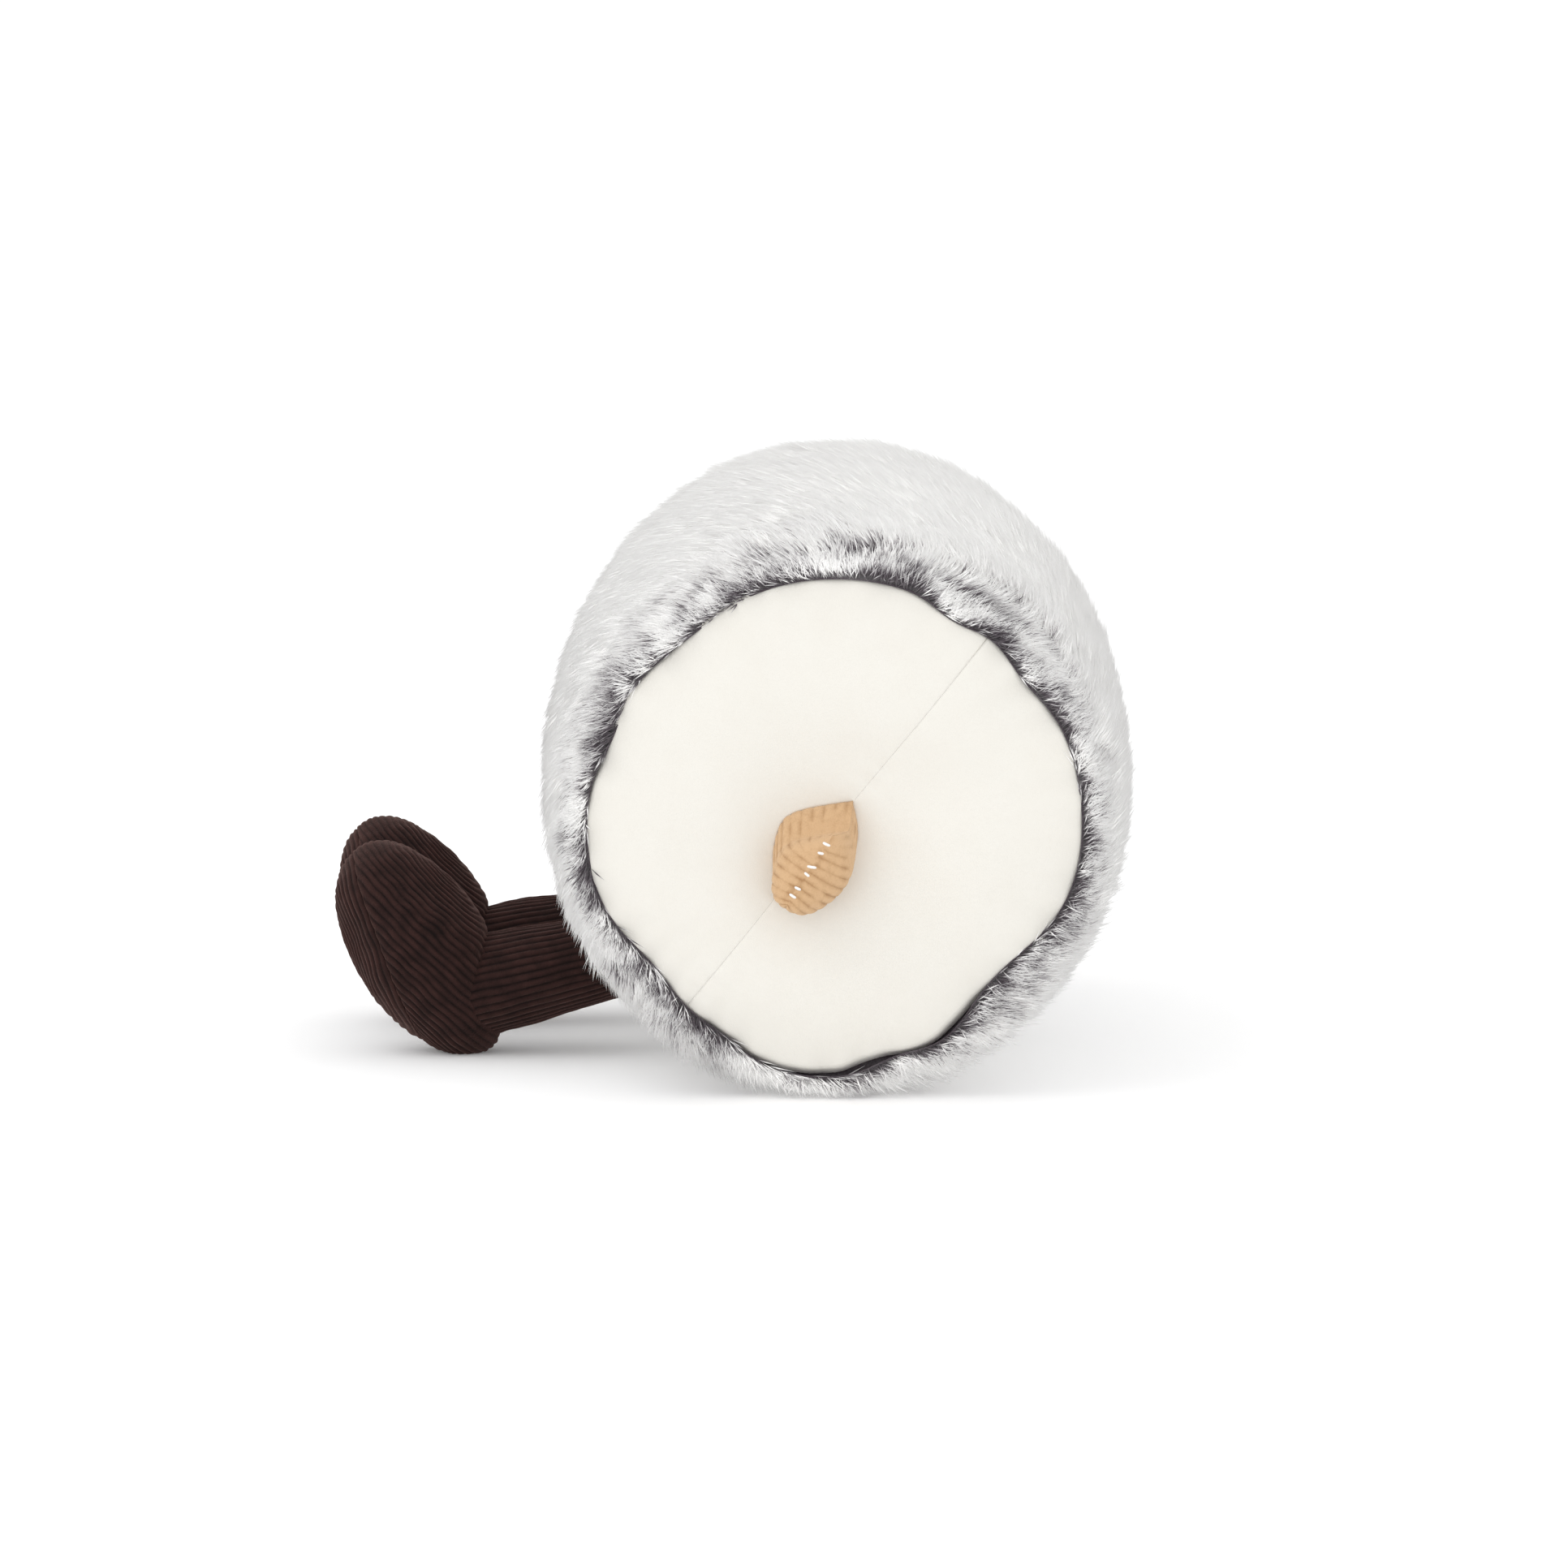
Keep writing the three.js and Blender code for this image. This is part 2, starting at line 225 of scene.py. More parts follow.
def hand_over(
    piece: bpy.types.Object, finish: bpy.types.Material, nodes: Iterable[str],
) -> None:
    """Gives a piece its finish and puts it in place of its plain solids.

    Args:
        piece: The finished piece.
        finish: Its material.
        nodes: The solids that it stands for.
    """
    piece.data.materials.clear()
    piece.data.materials.append(finish)
    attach(piece, "root")
    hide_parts(*nodes)
    LOG.info("%s: %d faces", piece.name, len(piece.data.polygons))


class Wiring:
    """Adds nodes to one tree and joins them by the names of their sockets."""

    def __init__(self, tree: bpy.types.NodeTree) -> None:
        """Starts on a tree.

        Args:
            tree: The tree that the nodes go into.
        """
        self.tree = tree

    @classmethod
    def blank(cls, owner: bpy.types.Material | bpy.types.World) -> "Wiring":
        """Empties the tree of a material or a world and starts on it."""
        owner.use_nodes = True
        owner.node_tree.nodes.clear()
        return cls(owner.node_tree)

    def add(self, kind: str, inputs: dict[str | int, Input] | None = None,
            **settings: object) -> bpy.types.Node:
        """Adds one node.

        Args:
            kind: The node's type.
            inputs: What each input socket takes, by name or number.
            settings: The node's own properties.

        Returns:
            The node.
        """
        node = self.tree.nodes.new(kind)
        for key, value in settings.items():
            setattr(node, key, value)
        for key, value in (inputs or {}).items():
            if isinstance(key, int):
                socket = node.inputs[key]
            else:
                socket = next(s for s in node.inputs if s.name == key and s.enabled)
            if isinstance(value, bpy.types.NodeSocket):
                self.tree.links.new(value, socket)
            else:
                socket.default_value = value
        return node

    def take(self, kind: str, inputs: dict[str | int, Input] | None = None, out: str = "",
             **settings: object) -> bpy.types.NodeSocket:
        """Adds one node and returns its named, or else its first, output in use."""
        node = self.add(kind, inputs, **settings)
        return next(s for s in node.outputs if s.enabled and (not out or s.name == out))

    def math(self, operation: str, *values: Input) -> bpy.types.NodeSocket:
        """A sum of plain numbers."""
        return self.take("ShaderNodeMath", dict(enumerate(values)), operation=operation)

    def times(self, first: Input, second: Input) -> bpy.types.NodeSocket:
        """Two plain numbers multiplied."""
        return self.math("MULTIPLY", first, second)

    def plus(self, first: Input, second: Input) -> bpy.types.NodeSocket:
        """Two plain numbers added."""
        return self.math("ADD", first, second)

    def vector(self, operation: str, *values: Input) -> bpy.types.NodeSocket:
        """A sum of vectors."""
        return self.take("ShaderNodeVectorMath", dict(enumerate(values)), operation=operation)

    def scaled(self, vector: Input, scale: Input) -> bpy.types.NodeSocket:
        """A vector made longer or shorter."""
        return self.take("ShaderNodeVectorMath", {0: vector, "Scale": scale}, operation="SCALE")

    def ramp(self, value: Input, low: Input, high: Input, start: Input = 0.0, end: Input = 1.0,
             smooth: bool = True) -> bpy.types.NodeSocket:
        """A value's rise from start to end as it goes from low to high."""
        inputs = {"Value": value, "From Min": low, "From Max": high, "To Min": start, "To Max": end}
        kind = "SMOOTHSTEP" if smooth else "LINEAR"
        return self.take("ShaderNodeMapRange", inputs, interpolation_type=kind)

    def blend(self, share: Input, first: Input, second: Input) -> bpy.types.NodeSocket:
        """A colour between two others."""
        inputs: dict[str | int, Input] = {0: share, 6: first, 7: second}
        return self.take("ShaderNodeMix", inputs, data_type="RGBA")

    def named(self, name: str, kind: str = "FLOAT") -> bpy.types.NodeSocket:
        """A value stored on the geometry under a name."""
        return self.take("GeometryNodeInputNamedAttribute", {"Name": name}, data_type=kind)


def socket_group(name: str, kind: str, inputs: dict[str, tuple[str, Input | None]],
                 outputs: dict[str, str]) -> bpy.types.NodeTree:
    """Makes an empty node group with named sockets.

    Args:
        name: The group's name.
        kind: The type of tree.
        inputs: Each input's socket type and its usual value.
        outputs: Each output's socket type.

    Returns:
        The group.
    """
    group = bpy.data.node_groups.new(name, kind)
    for label, (socket_type, usual) in inputs.items():
        socket = group.interface.new_socket(label, in_out="INPUT", socket_type=socket_type)
        if usual is not None:
            socket.default_value = usual
    for label, socket_type in outputs.items():
        group.interface.new_socket(label, in_out="OUTPUT", socket_type=socket_type)
    return group


# ---------- finishes ----------


def nap_group() -> bpy.types.NodeTree:
    """The fine nap that all the cloths share: a mottled mask and a height for bump.

    Returns:
        The shader node group.
    """
    group = socket_group(
        "cloth nap", "ShaderNodeTree",
        {"Fibre": ("NodeSocketFloat", 0.3 * MM), "Patch": ("NodeSocketFloat", 6 * MM)},
        {"Mottle": "NodeSocketFloat", "Height": "NodeSocketFloat"},
    )
    wiring = Wiring(group)
    given = wiring.add("NodeGroupInput")
    place = wiring.take("ShaderNodeTexCoord", out="Object")
    noises = {}
    for label in ("Fibre", "Patch"):
        scale = wiring.math("DIVIDE", 1.0, given.outputs[label])
        noises[label] = wiring.take(
            "ShaderNodeTexNoise", {"Vector": place, "Scale": scale, "Detail": 3.0, "Roughness": 0.6})
    both = wiring.plus(wiring.times(noises["Patch"], 0.6), wiring.times(noises["Fibre"], 0.4))
    wiring.add("NodeGroupOutput", {"Mottle": both, "Height": noises["Fibre"]})
    return group


@dataclass(frozen=True)
class ClothFinish:
    """A cloth with a short nap, coloured from its groove colour to its ridge colour by its piece's `wale`
    value; on the corduroys the darker groove colour is painted shade in the grooves between the ribs.
    """

    name: str
    ridge: Colour
    groove: Colour
    ribbed: bool
    mottling: float
    bump: float
    fibre: float = 0.3 * MM
    patch: float = 6 * MM
    roughness: float = 0.9
    sheen: float = 0.3
    sheen_tint: Colour = (1.0, 1.0, 1.0)

    def material(self, nap: bpy.types.NodeTree) -> bpy.types.Material:
        """Builds the cloth's material.

        Args:
            nap: The shared nap group.

        Returns:
            The material.
        """
        material = bpy.data.materials.new(self.name)
        wiring = Wiring.blank(material)
        group = wiring.add("ShaderNodeGroup", node_tree=nap)
        group.inputs["Fibre"].default_value = self.fibre
        group.inputs["Patch"].default_value = self.patch
        mottle = wiring.ramp(group.outputs["Mottle"], 0.3, 0.7, -self.mottling, self.mottling, smooth=False)
        level = wiring.take("ShaderNodeAttribute", out="Fac", attribute_name="wale") if self.ribbed else 0.5
        clamped = wiring.take("ShaderNodeClamp", {"Value": wiring.plus(mottle, level)})
        # Low `wale` values take the groove colour; on the corduroys this is painted shade in the grooves.
        colour = wiring.blend(clamped, (*self.groove, 1), (*self.ridge, 1))
        bump = wiring.take("ShaderNodeBump", {"Strength": 1.0, "Distance": self.bump,
                                              "Height": group.outputs["Height"]})
        shader = wiring.take("ShaderNodeBsdfPrincipled", {
            "Base Color": colour, "Roughness": self.roughness, "Specular IOR Level": 0.15,
            "Sheen Weight": self.sheen, "Sheen Roughness": 0.5, "Sheen Tint": (*self.sheen_tint, 1),
            "Normal": bump})
        wiring.add("ShaderNodeOutputMaterial", {"Surface": shader})
        return material


@dataclass(frozen=True)
class PileFinish:
    """Tipped pile: dark at the root and pale at the tip, read from the strand's own map, with a faint
    painted glow in its own colour.
    """

    name: str = "ash pile"
    root: Colour = (0.10, 0.084, 0.096)
    middle: Colour = (0.42, 0.40, 0.41)
    streaked_tip: Colour = (0.86, 0.85, 0.845)
    tip: Colour = (0.975, 0.968, 0.955)
    least_dark: float = 0.04
    most_dark: float = 0.95
    paled_root: float = 0.3
    paled_tones: tuple[float, float] = (0.1, 0.4)
    streaked_tones: tuple[float, float] = (0.08, 0.62)
    root_blend: float = 0.2
    tip_blend: float = 0.25
    # Strength of a painted glow: the strands emit light in their own colour, in place of light scattered
    # through the fine pile.
    scattered: float = 0.18

    def material(self) -> bpy.types.Material:
        """Builds the strands' material.

        Returns:
            The material.
        """
        material = bpy.data.materials.new(self.name)
        wiring = Wiring.blank(material)
        place = wiring.add("ShaderNodeSeparateXYZ",
                           {"Vector": wiring.take("ShaderNodeUVMap", uv_map=PATTERN_MAP)})
        along, tone = place.outputs["X"], place.outputs["Y"]
        dark = wiring.ramp(tone, 0.0, 1.0, self.least_dark, self.most_dark, smooth=False)
        paled = wiring.ramp(tone, *self.paled_tones, self.paled_root, 0.0, smooth=False)
        dark = wiring.math("SUBTRACT", dark, paled)
        lower = wiring.ramp(along, wiring.math("SUBTRACT", dark, self.root_blend), dark)
        upper = wiring.ramp(along, dark, wiring.plus(dark, self.tip_blend))
        base = wiring.blend(lower, (*self.root, 1), (*self.middle, 1))
        streaked = wiring.ramp(tone, *self.streaked_tones, smooth=False)
        tip = wiring.blend(streaked, (*self.tip, 1), (*self.streaked_tip, 1))
        colour = wiring.blend(upper, base, tip)
        # The emission is painted light: the strands glow faintly in their own colour, standing in for light
        # scattered through the pile.
        shader = wiring.take("ShaderNodeBsdfPrincipled", {
            "Base Color": colour, "Roughness": 0.75, "Specular IOR Level": 0.2,
            "Emission Color": colour, "Emission Strength": self.scattered,
            "Sheen Weight": 0.15, "Sheen Roughness": 0.6})
        wiring.add("ShaderNodeOutputMaterial", {"Surface": shader})
        return material


# ---------- the log's form ----------


@dataclass(frozen=True)
class Pinch:
    """A place where the end seam is drawn inwards, with its angle and spread in degrees."""

    angle: float
    depth: float
    spread: float


@dataclass(frozen=True)
class LogForm:
    """The log's outer form: round at its rims, swollen in the middle, pressed flat below."""

    half_length: float = 86 * MM
    rim_radius: float = 60 * MM
    rim_press: float = 1.2 * MM
    swell_depth: float = 4.8 * MM
    swell_rise: float = 11.8 * MM
    swell_sag: float = 5 * MM
    belly_press: float = 3 * MM
    roll_length: float = 7 * MM
    panel_edge: float = 83 * MM
    panel_radius: float = 54.2 * MM
    lowest: float = 0.8 * MM
    flattening: float = 2 * MM
    pinches: tuple[Pinch, ...] = (
        Pinch(38, 2.0 * MM, 10),
        Pinch(60, 2.2 * MM, 8),
        Pinch(128, 2.1 * MM, 16),
        Pinch(158, 2.0 * MM, 10),
        Pinch(219, 3.9 * MM, 15),
        Pinch(242, 2.4 * MM, 10),
        Pinch(285, 2.6 * MM, 9),
        Pinch(317, 5.6 * MM, 19),
    )

    @property
    def barrel_end(self) -> float:
        """Where the barrel ends and the rim starts to roll in."""
        return self.half_length - self.roll_length

    @property
    def middle_height(self) -> float:
        """Height of the middle of the end panels."""
        return self.rim_radius - self.rim_press

    def pinch(self, angle: np.ndarray) -> np.ndarray:
        """How far the end seam is drawn in at an angle round the panel's middle."""
        total = np.zeros_like(angle)
        for pinch in self.pinches:
            away = (angle - math.radians(pinch.angle) + math.pi) % TURN - math.pi
            total += pinch.depth * np.exp(-((away / math.radians(pinch.spread)) ** 2))
        return total

    def section(self, x: np.ndarray) -> tuple[np.ndarray, np.ndarray]:
        """How swollen the log is at places along it, and the height of its widest level."""
        swell = 1 - np.minimum(np.abs(x) / self.barrel_end, 1.0) ** 2
        belly = self.rim_radius + self.swell_sag - self.belly_press
        return swell, mix(self.middle_height, belly, swell)

    def surface(self, x: np.ndarray, angle: np.ndarray, inset: np.ndarray) -> np.ndarray:
        """Points of the log's form.

        Args:
            x: Places along the log.
            angle: Angles round it, from +Y towards +Z.
            inset: How far inside the outer form the points lie.

        Returns:
            Points, with their three coordinates along the last axis.
        """
        swell, middle = self.section(x)
        size = self.rim_radius - inset
        rise = size + np.where(np.sin(angle) > 0, self.swell_rise, self.swell_sag) * swell
        bottom = np.maximum(inset - self.flattening, self.lowest)
        height = np.maximum(middle + rise * np.sin(angle), bottom)
        return np.stack([x, (size + self.swell_depth * swell) * np.cos(angle), height], axis=-1)

    def depth(self, points: np.ndarray) -> np.ndarray:
        """Rough distance of points inside the outer form.

        Args:
            points: Places in the barrel's stretch.

        Returns:
            The distance, below zero outside.
        """
        x, y, z = np.moveaxis(points, -1, 0)
        swell, middle = self.section(x)
        up = z - middle
        rise = self.rim_radius + np.where(up > 0, self.swell_rise, self.swell_sag) * swell
        reach = self.rim_radius + self.swell_depth * swell
        return (1 - np.hypot(y / reach, up / rise)) * self.rim_radius


# ---------- pile ----------

# Waves per metre of cloth, round the log and along it, of the pile's unevenness.
CLUMPS = (160.0, 250.0, 0.0)
CURLS = (110.0, 110.0, 0.0)
BANDS = (35.0, 210.0, 0.0)


def pile_tree() -> bpy.types.NodeTree:
    """The tree that plants strands on a cloth and combs them.

    The cloth carries, at each point, the way the pile is combed (nap), how steeply it
    stands (lift), its length (strand), how thick it grows (cover), how dark its roots
    are (shade), how mottled it is (mottle), how unruly (wild), and its place on the flat
    cloth (cloth).

    Returns:
        The geometry node group.
    """
    tree = socket_group(
        "combed pile", "GeometryNodeTree",
        {
            "Cloth": ("NodeSocketGeometry", None),
            "Strand": ("NodeSocketObject", None),
            "Density": ("NodeSocketFloat", 1e6),
            "Seed": ("NodeSocketInt", 0),
            "Strand Width": ("NodeSocketFloat", 0.35 * MM),
            "Tuft Size": ("NodeSocketFloat", 4 * MM),
            "Tuft Pull": ("NodeSocketFloat", 0.6),
            "Stray": ("NodeSocketFloat", 0.2),
            "Droop": ("NodeSocketFloat", 0.2),
            "Streaks": ("NodeSocketFloat", 0.9),
            "Ground": ("NodeSocketFloat", 0.2 * MM),
            "Finish": ("NodeSocketMaterial", None),
        },
        {"Pile": "NodeSocketGeometry"},
    )
    wiring = Wiring(tree)
    given = wiring.add("NodeGroupInput").outputs
    place = wiring.take("GeometryNodeInputPosition")
    flat = wiring.named("cloth", "FLOAT_VECTOR")
    mottle = wiring.named("mottle")

    density = wiring.times(given["Density"], wiring.named("cover"))
    planted = wiring.add("GeometryNodeDistributePointsOnFaces",
                         {"Mesh": given["Cloth"], "Density": density, "Seed": given["Seed"]})
    normal = planted.outputs["Normal"]

    def noise(waves: tuple[float, float, float], detail: float, out: str = "Fac") -> bpy.types.NodeSocket:
        """Noise over the flat cloth, less its middle value."""
        inputs = {"Vector": wiring.vector("MULTIPLY", flat, waves), "Scale": 1.0, "Detail": detail}
        found = wiring.take("ShaderNodeTexNoise", inputs, out=out)
        if out == "Color":
            return wiring.vector("SUBTRACT", found, (0.5, 0.5, 0.5))
        return wiring.math("SUBTRACT", found, 0.5)

    def random(low: Input, high: Input, seed: int, kind: str = "FLOAT") -> bpy.types.NodeSocket:
        """A seeded draw for each strand."""
        inputs = {"Min": low, "Max": high, "Seed": seed}
        return wiring.take("FunctionNodeRandomValue", inputs, data_type=kind)

    length = wiring.times(wiring.named("strand"), random(0.78, 1.12, 11))
    lift = wiring.times(wiring.named("lift"), random(0.65, 1.35, 12))
    swirl = wiring.scaled(noise(CURLS, 2.0, "Color"), wiring.plus(0.5, wiring.times(mottle, 1.6)))
    wild = wiring.times(given["Stray"], wiring.named("wild"))
    stray = wiring.scaled(random((-1, -1, -1), (1, 1, 1), 13, "FLOAT_VECTOR"), wild)
    tufts = wiring.math("DIVIDE", 1.0, given["Tuft Size"])
    tuft = wiring.take("ShaderNodeTexVoronoi", {"Vector": place, "Scale": tufts}, out="Position")
    pull = wiring.math("DIVIDE", given["Tuft Pull"], length)
    gather = wiring.scaled(wiring.vector("SUBTRACT", tuft, place), pull)
    heading = wiring.named("nap", "FLOAT_VECTOR")
    for extra in (wiring.scaled(normal, lift), swirl, stray, gather):
        heading = wiring.vector("ADD", heading, extra)
    heading = wiring.vector("NORMALIZE", heading)

    streaks = wiring.times(noise(BANDS, 3.0), given["Streaks"])
    grain = wiring.times(random(-1.0, 1.0, 14), wiring.plus(0.06, wiring.times(mottle, 0.16)))
    patches = wiring.times(mottle, wiring.times(noise(CLUMPS, 3.0), 2.2))
    tone = wiring.named("shade")
    for extra in (streaks, grain, patches):
        tone = wiring.plus(tone, extra)
    tone = wiring.take("ShaderNodeClamp", {"Value": tone})

    points = planted.outputs["Points"]
    bend = wiring.scaled(normal, wiring.times(length, wiring.times(given["Droop"], -1.0)))
    for name, kind, value in (("bend", "FLOAT_VECTOR", bend), ("tone", "FLOAT", tone)):
        points = wiring.take("GeometryNodeStoreNamedAttribute",
                             {"Geometry": points, "Name": name, "Value": value}, data_type=kind)

    width = wiring.times(given["Strand Width"], random(0.7, 1.3, 15))
    size = wiring.take("ShaderNodeCombineXYZ", {"X": width, "Y": width, "Z": length})
    turn = wiring.take("FunctionNodeAxesToRotation", {"Primary Axis": heading, "Secondary Axis": normal},
                       primary_axis="Z", secondary_axis="Y")
    strand = wiring.take("GeometryNodeObjectInfo", {"Object": given["Strand"]}, out="Geometry")
    pile = wiring.take("GeometryNodeInstanceOnPoints",
                       {"Points": points, "Instance": strand, "Rotation": turn, "Scale": size})
    pile = wiring.take("GeometryNodeRealizeInstances", {"Geometry": pile})

    along = wiring.named("along")
    sag = wiring.scaled(wiring.named("bend", "FLOAT_VECTOR"), wiring.times(along, along))
    pile = wiring.take("GeometryNodeSetPosition", {"Geometry": pile, "Offset": sag})
    split = wiring.add("ShaderNodeSeparateXYZ", {"Vector": place}).outputs
    height = wiring.math("MAXIMUM", split["Z"], given["Ground"])
    laid = wiring.take("ShaderNodeCombineXYZ", {"X": split["X"], "Y": split["Y"], "Z": height})
    pile = wiring.take("GeometryNodeSetPosition", {"Geometry": pile, "Position": laid})

    across = wiring.times(wiring.named("across"), 0.012)
    level = wiring.plus(across, wiring.ramp(wiring.named("tone"), 0.0, 1.0, 0.03, 0.97, smooth=False))
    onward = wiring.ramp(along, 0.0, 1.0, 0.02, 0.98, smooth=False)
    mapped = wiring.take("ShaderNodeCombineXYZ", {"X": onward, "Y": level})
    pile = wiring.take("GeometryNodeStoreNamedAttribute",
                       {"Geometry": pile, "Name": PATTERN_MAP, "Value": mapped},
                       data_type="FLOAT2", domain="CORNER")
    pile = wiring.take("GeometryNodeSetShadeSmooth", {"Geometry": pile})
    pile = wiring.take("GeometryNodeSetMaterial", {"Geometry": pile, "Material": given["Finish"]})
    wiring.add("NodeGroupOutput", {"Pile": pile})
    return tree


def set_inputs(modifier: bpy.types.Modifier, values: dict[str, Input]) -> None:
    """Sets a geometry nodes modifier's inputs by their sockets' identifiers.

    Args:
        modifier: The modifier, with its tree in place.
        values: Each input's value, by the socket's name.
    """
    for item in modifier.node_group.interface.items_tree:
        if item.in_out == "INPUT" and item.name in values:
            modifier[item.identifier] = values[item.name]


def grown(name: str, carrier: bpy.types.Object, tree: bpy.types.NodeTree,
          values: dict[str, Input]) -> bpy.types.Object:
    """Runs a tree on a carrier and keeps the result as a plain mesh.

    Args:
        name: The new object's name.
        carrier: The object that the tree reads, removed afterwards.
        tree: The geometry node group.
        values: Its inputs, by name.

    Returns:
        The new object.
    """
    modifier = carrier.modifiers.new("grow", "NODES")
    modifier.node_group = tree
    set_inputs(modifier, values)
    evaluated = carrier.evaluated_get(bpy.context.evaluated_depsgraph_get())
    mesh = bpy.data.meshes.new_from_object(evaluated)
    mesh.name = name
    bpy.data.objects.remove(carrier)
    return put(name, mesh)


class Zone(Enum):
    """The stretches of the sleeve that are planted one by one."""

    RIM = "rim"
    BARREL = "barrel"


@dataclass(frozen=True)
class Sector:
    """One stretch of the sleeve that carries its own piece of pile."""

    zone: Zone
    label: str
    start: float
    end: float


@dataclass(frozen=True)
class Planting:
    """How a zone's strands are planted and shaped, next to what its cloth says."""

    density: float
    width: float
    tuft_size: float
    tuft_pull: float
    stray: float
    droop: float
    streaks: float

    def inputs(self) -> dict[str, Input]:
        """The planting's values, by the names of the tree's inputs."""
        return {
            "Density": self.density, "Strand Width": self.width, "Tuft Size": self.tuft_size,
            "Tuft Pull": self.tuft_pull, "Stray": self.stray, "Droop": self.droop,
            "Streaks": self.streaks,
        }


@dataclass
class Sleeve:
    """The furry sleeve: a dark backing cloth, and pile planted on it in sectors."""

    form: LogForm
    pile_depth: float = 3.0 * MM
    rim_depth: float = 5.8 * MM
    lip_reach: float = 4.6 * MM
    lip_drop: float = 1.5 * MM
    lip_length: float = 6.0 * MM
    wall_radius: float = 54.7 * MM
    wall_front: float = 82.5 * MM
    wall_back: float = 79.4 * MM
    hub_radius: float = 30 * MM
    hub_place: float = 75.4 * MM
    rim_zone: float = 13 * MM
    lip_strand: float = 5.5 * MM
    rim_strand: float = 8.5 * MM
    barrel_strand: float = 11 * MM
    mottle_start: tuple[float, float] = (8 * MM, 10 * MM)
    mottle_end: tuple[float, float] = (22 * MM, 24 * MM)
    mottle_widest: float = math.radians(55)
    plain_shade: float = 0.10
    mottled_shade: float = 0.36
    rim_planting: Planting = Planting(8.6e6, 0.255 * MM, 4 * MM, 0.6, 0.26, 0.12, 1.0)
    barrel_planting: Planting = Planting(5.0e6, 0.30 * MM, 6 * MM, 0.3, 0.08, 0.06, 1.4)
    around: int = 220
    sectors: tuple[Sector, ...] = (
        Sector(Zone.RIM, "front", 90, 270),
        Sector(Zone.RIM, "back", -90, 90),
        Sector(Zone.BARREL, "top", 45, 135),
        Sector(Zone.BARREL, "front", 135, 270),
        Sector(Zone.BARREL, "back", -90, 45),
    )

    @property
    def rim_start(self) -> float:
        """Where the barrel's pile ends and the rim's starts."""
        return self.form.barrel_end - self.rim_zone

    def skin(self, x: np.ndarray, turn: np.ndarray, angle: np.ndarray) -> np.ndarray:
        """Points of the backing cloth's outer face at the left end.

        Args:
            x: Places along the barrel.
            turn: How far each place is round the lip, from 0 to 1.
            angle: Angles round the log.

        Returns:
            Points.
        """
        bow = turn * math.pi / 2
        near_lip = turn + (x - self.form.barrel_end) / (10 * MM) + 0.35
        drawn = self.form.pinch(angle) * fade(0.0, 1.0, near_lip)
        rim_depth = self.rim_depth * (1 - 0.25 * fade(0.75, 1.0, -np.sin(angle)))
        deeper = mix(self.pile_depth, rim_depth, fade(self.rim_start - 8 * MM, self.form.barrel_end, x))
        inset = deeper + self.lip_drop * (1 - np.cos(bow)) + drawn
        return self.form.surface(x + self.lip_reach * np.sin(bow), angle, inset)

    def sheet(self, low: float, high: float, steps: int, turned: int,
              angle: np.ndarray) -> tuple[np.ndarray, np.ndarray, np.ndarray]:
        """Lays a grid along the barrel, round the lip and round the log.

        Args:
            low: Where it starts along the barrel.
            high: Where it ends.
            steps: How many rows lie along the barrel.
            turned: How many rows follow round the lip.
            angle: Angles round the log.

        Returns:
            For each point its place along the barrel, its turn round the lip and its angle.
        """
        x = np.concatenate([np.linspace(low, high, steps), np.full(turned, high)])
        turn = np.concatenate([np.zeros(steps), np.linspace(0, 1, turned + 1)[1:]])
        return tuple(np.broadcast_arrays(x[:, None], turn[:, None], angle))

    def build_skin(self) -> bpy.types.Object:
        """Makes the closed backing cloth, with walls behind both end panels.

        Returns:
            The object.
        """
        angle = np.linspace(0, TURN, self.around + 1)
        angle[-1] = 0.0
        sheet = self.sheet(0.0, self.form.barrel_end, 40, 8, angle)
        walls = []
        for place, radius in ((self.wall_front, self.wall_radius), (self.wall_back, self.wall_radius),
                              (self.hub_place, self.hub_radius), (self.hub_place, 0.0)):
            size = radius - self.form.pinch(angle) * (radius > self.hub_radius)
            height = size * np.sin(angle) + self.form.middle_height
            walls.append(np.stack([np.full_like(angle, place), size * np.cos(angle), height], axis=-1))
        half = np.concatenate([self.skin(*sheet), np.stack(walls)])
        dark = np.concatenate([fade(55 * MM, 80 * MM, sheet[0][:, 0]), np.ones(len(walls))])
        both = np.concatenate([half[::-1] * (-1, 1, 1), half[1:]])
        pale = 1 - np.concatenate([dark[::-1], dark[1:]])
        patch = Patch(both, {"wale": (pale[:, None] + 0 * both[..., 0]) * 0.8})
        return sew("sleeve_backing", [patch])

    def carrier(self, end: End, sector: Sector) -> bpy.types.Object:
        """Makes the stretch of cloth that one sector's strands are planted on.

        Args:
            end: The end of the log.
            sector: The stretch.

        Returns:
            A temporary object whose points say how the pile is combed.
        """
        angle = np.radians(np.linspace(sector.start, sector.end, 60))
        if sector.zone is Zone.RIM:
            x, turn, angle = self.sheet(self.rim_start, self.form.barrel_end, 12, 10, angle)
        else:
            x, turn, angle = self.sheet(0.0, self.rim_start, 24, 0, angle)
        points = self.skin(x, turn, angle)
        if sector.zone is Zone.RIM:
            step = np.linalg.norm(np.diff(points, axis=0), axis=-1)
            travelled = np.concatenate([np.zeros((1, step.shape[1])), np.cumsum(step, axis=0)])
            from_lip = travelled[-1:] - travelled
        else:
            from_lip = self.rim_zone + self.lip_length + self.rim_start - x
        values = self.combing(points, angle, from_lip)
        values["nap"] = values["nap"] * (end.sign, 1, 1)
        cloth = (angle * self.form.rim_radius, from_lip, np.full_like(x, end.sign * 0.5))
        values["cloth"] = np.stack(cloth, axis=-1)
        points = points * (end.sign, 1, 1)
        if end is End.LEFT:
            points = points[:, ::-1]
            values = {key: value[:, ::-1] for key, value in values.items()}
        return sew("carrier", [Patch(points, values)], closed=False)

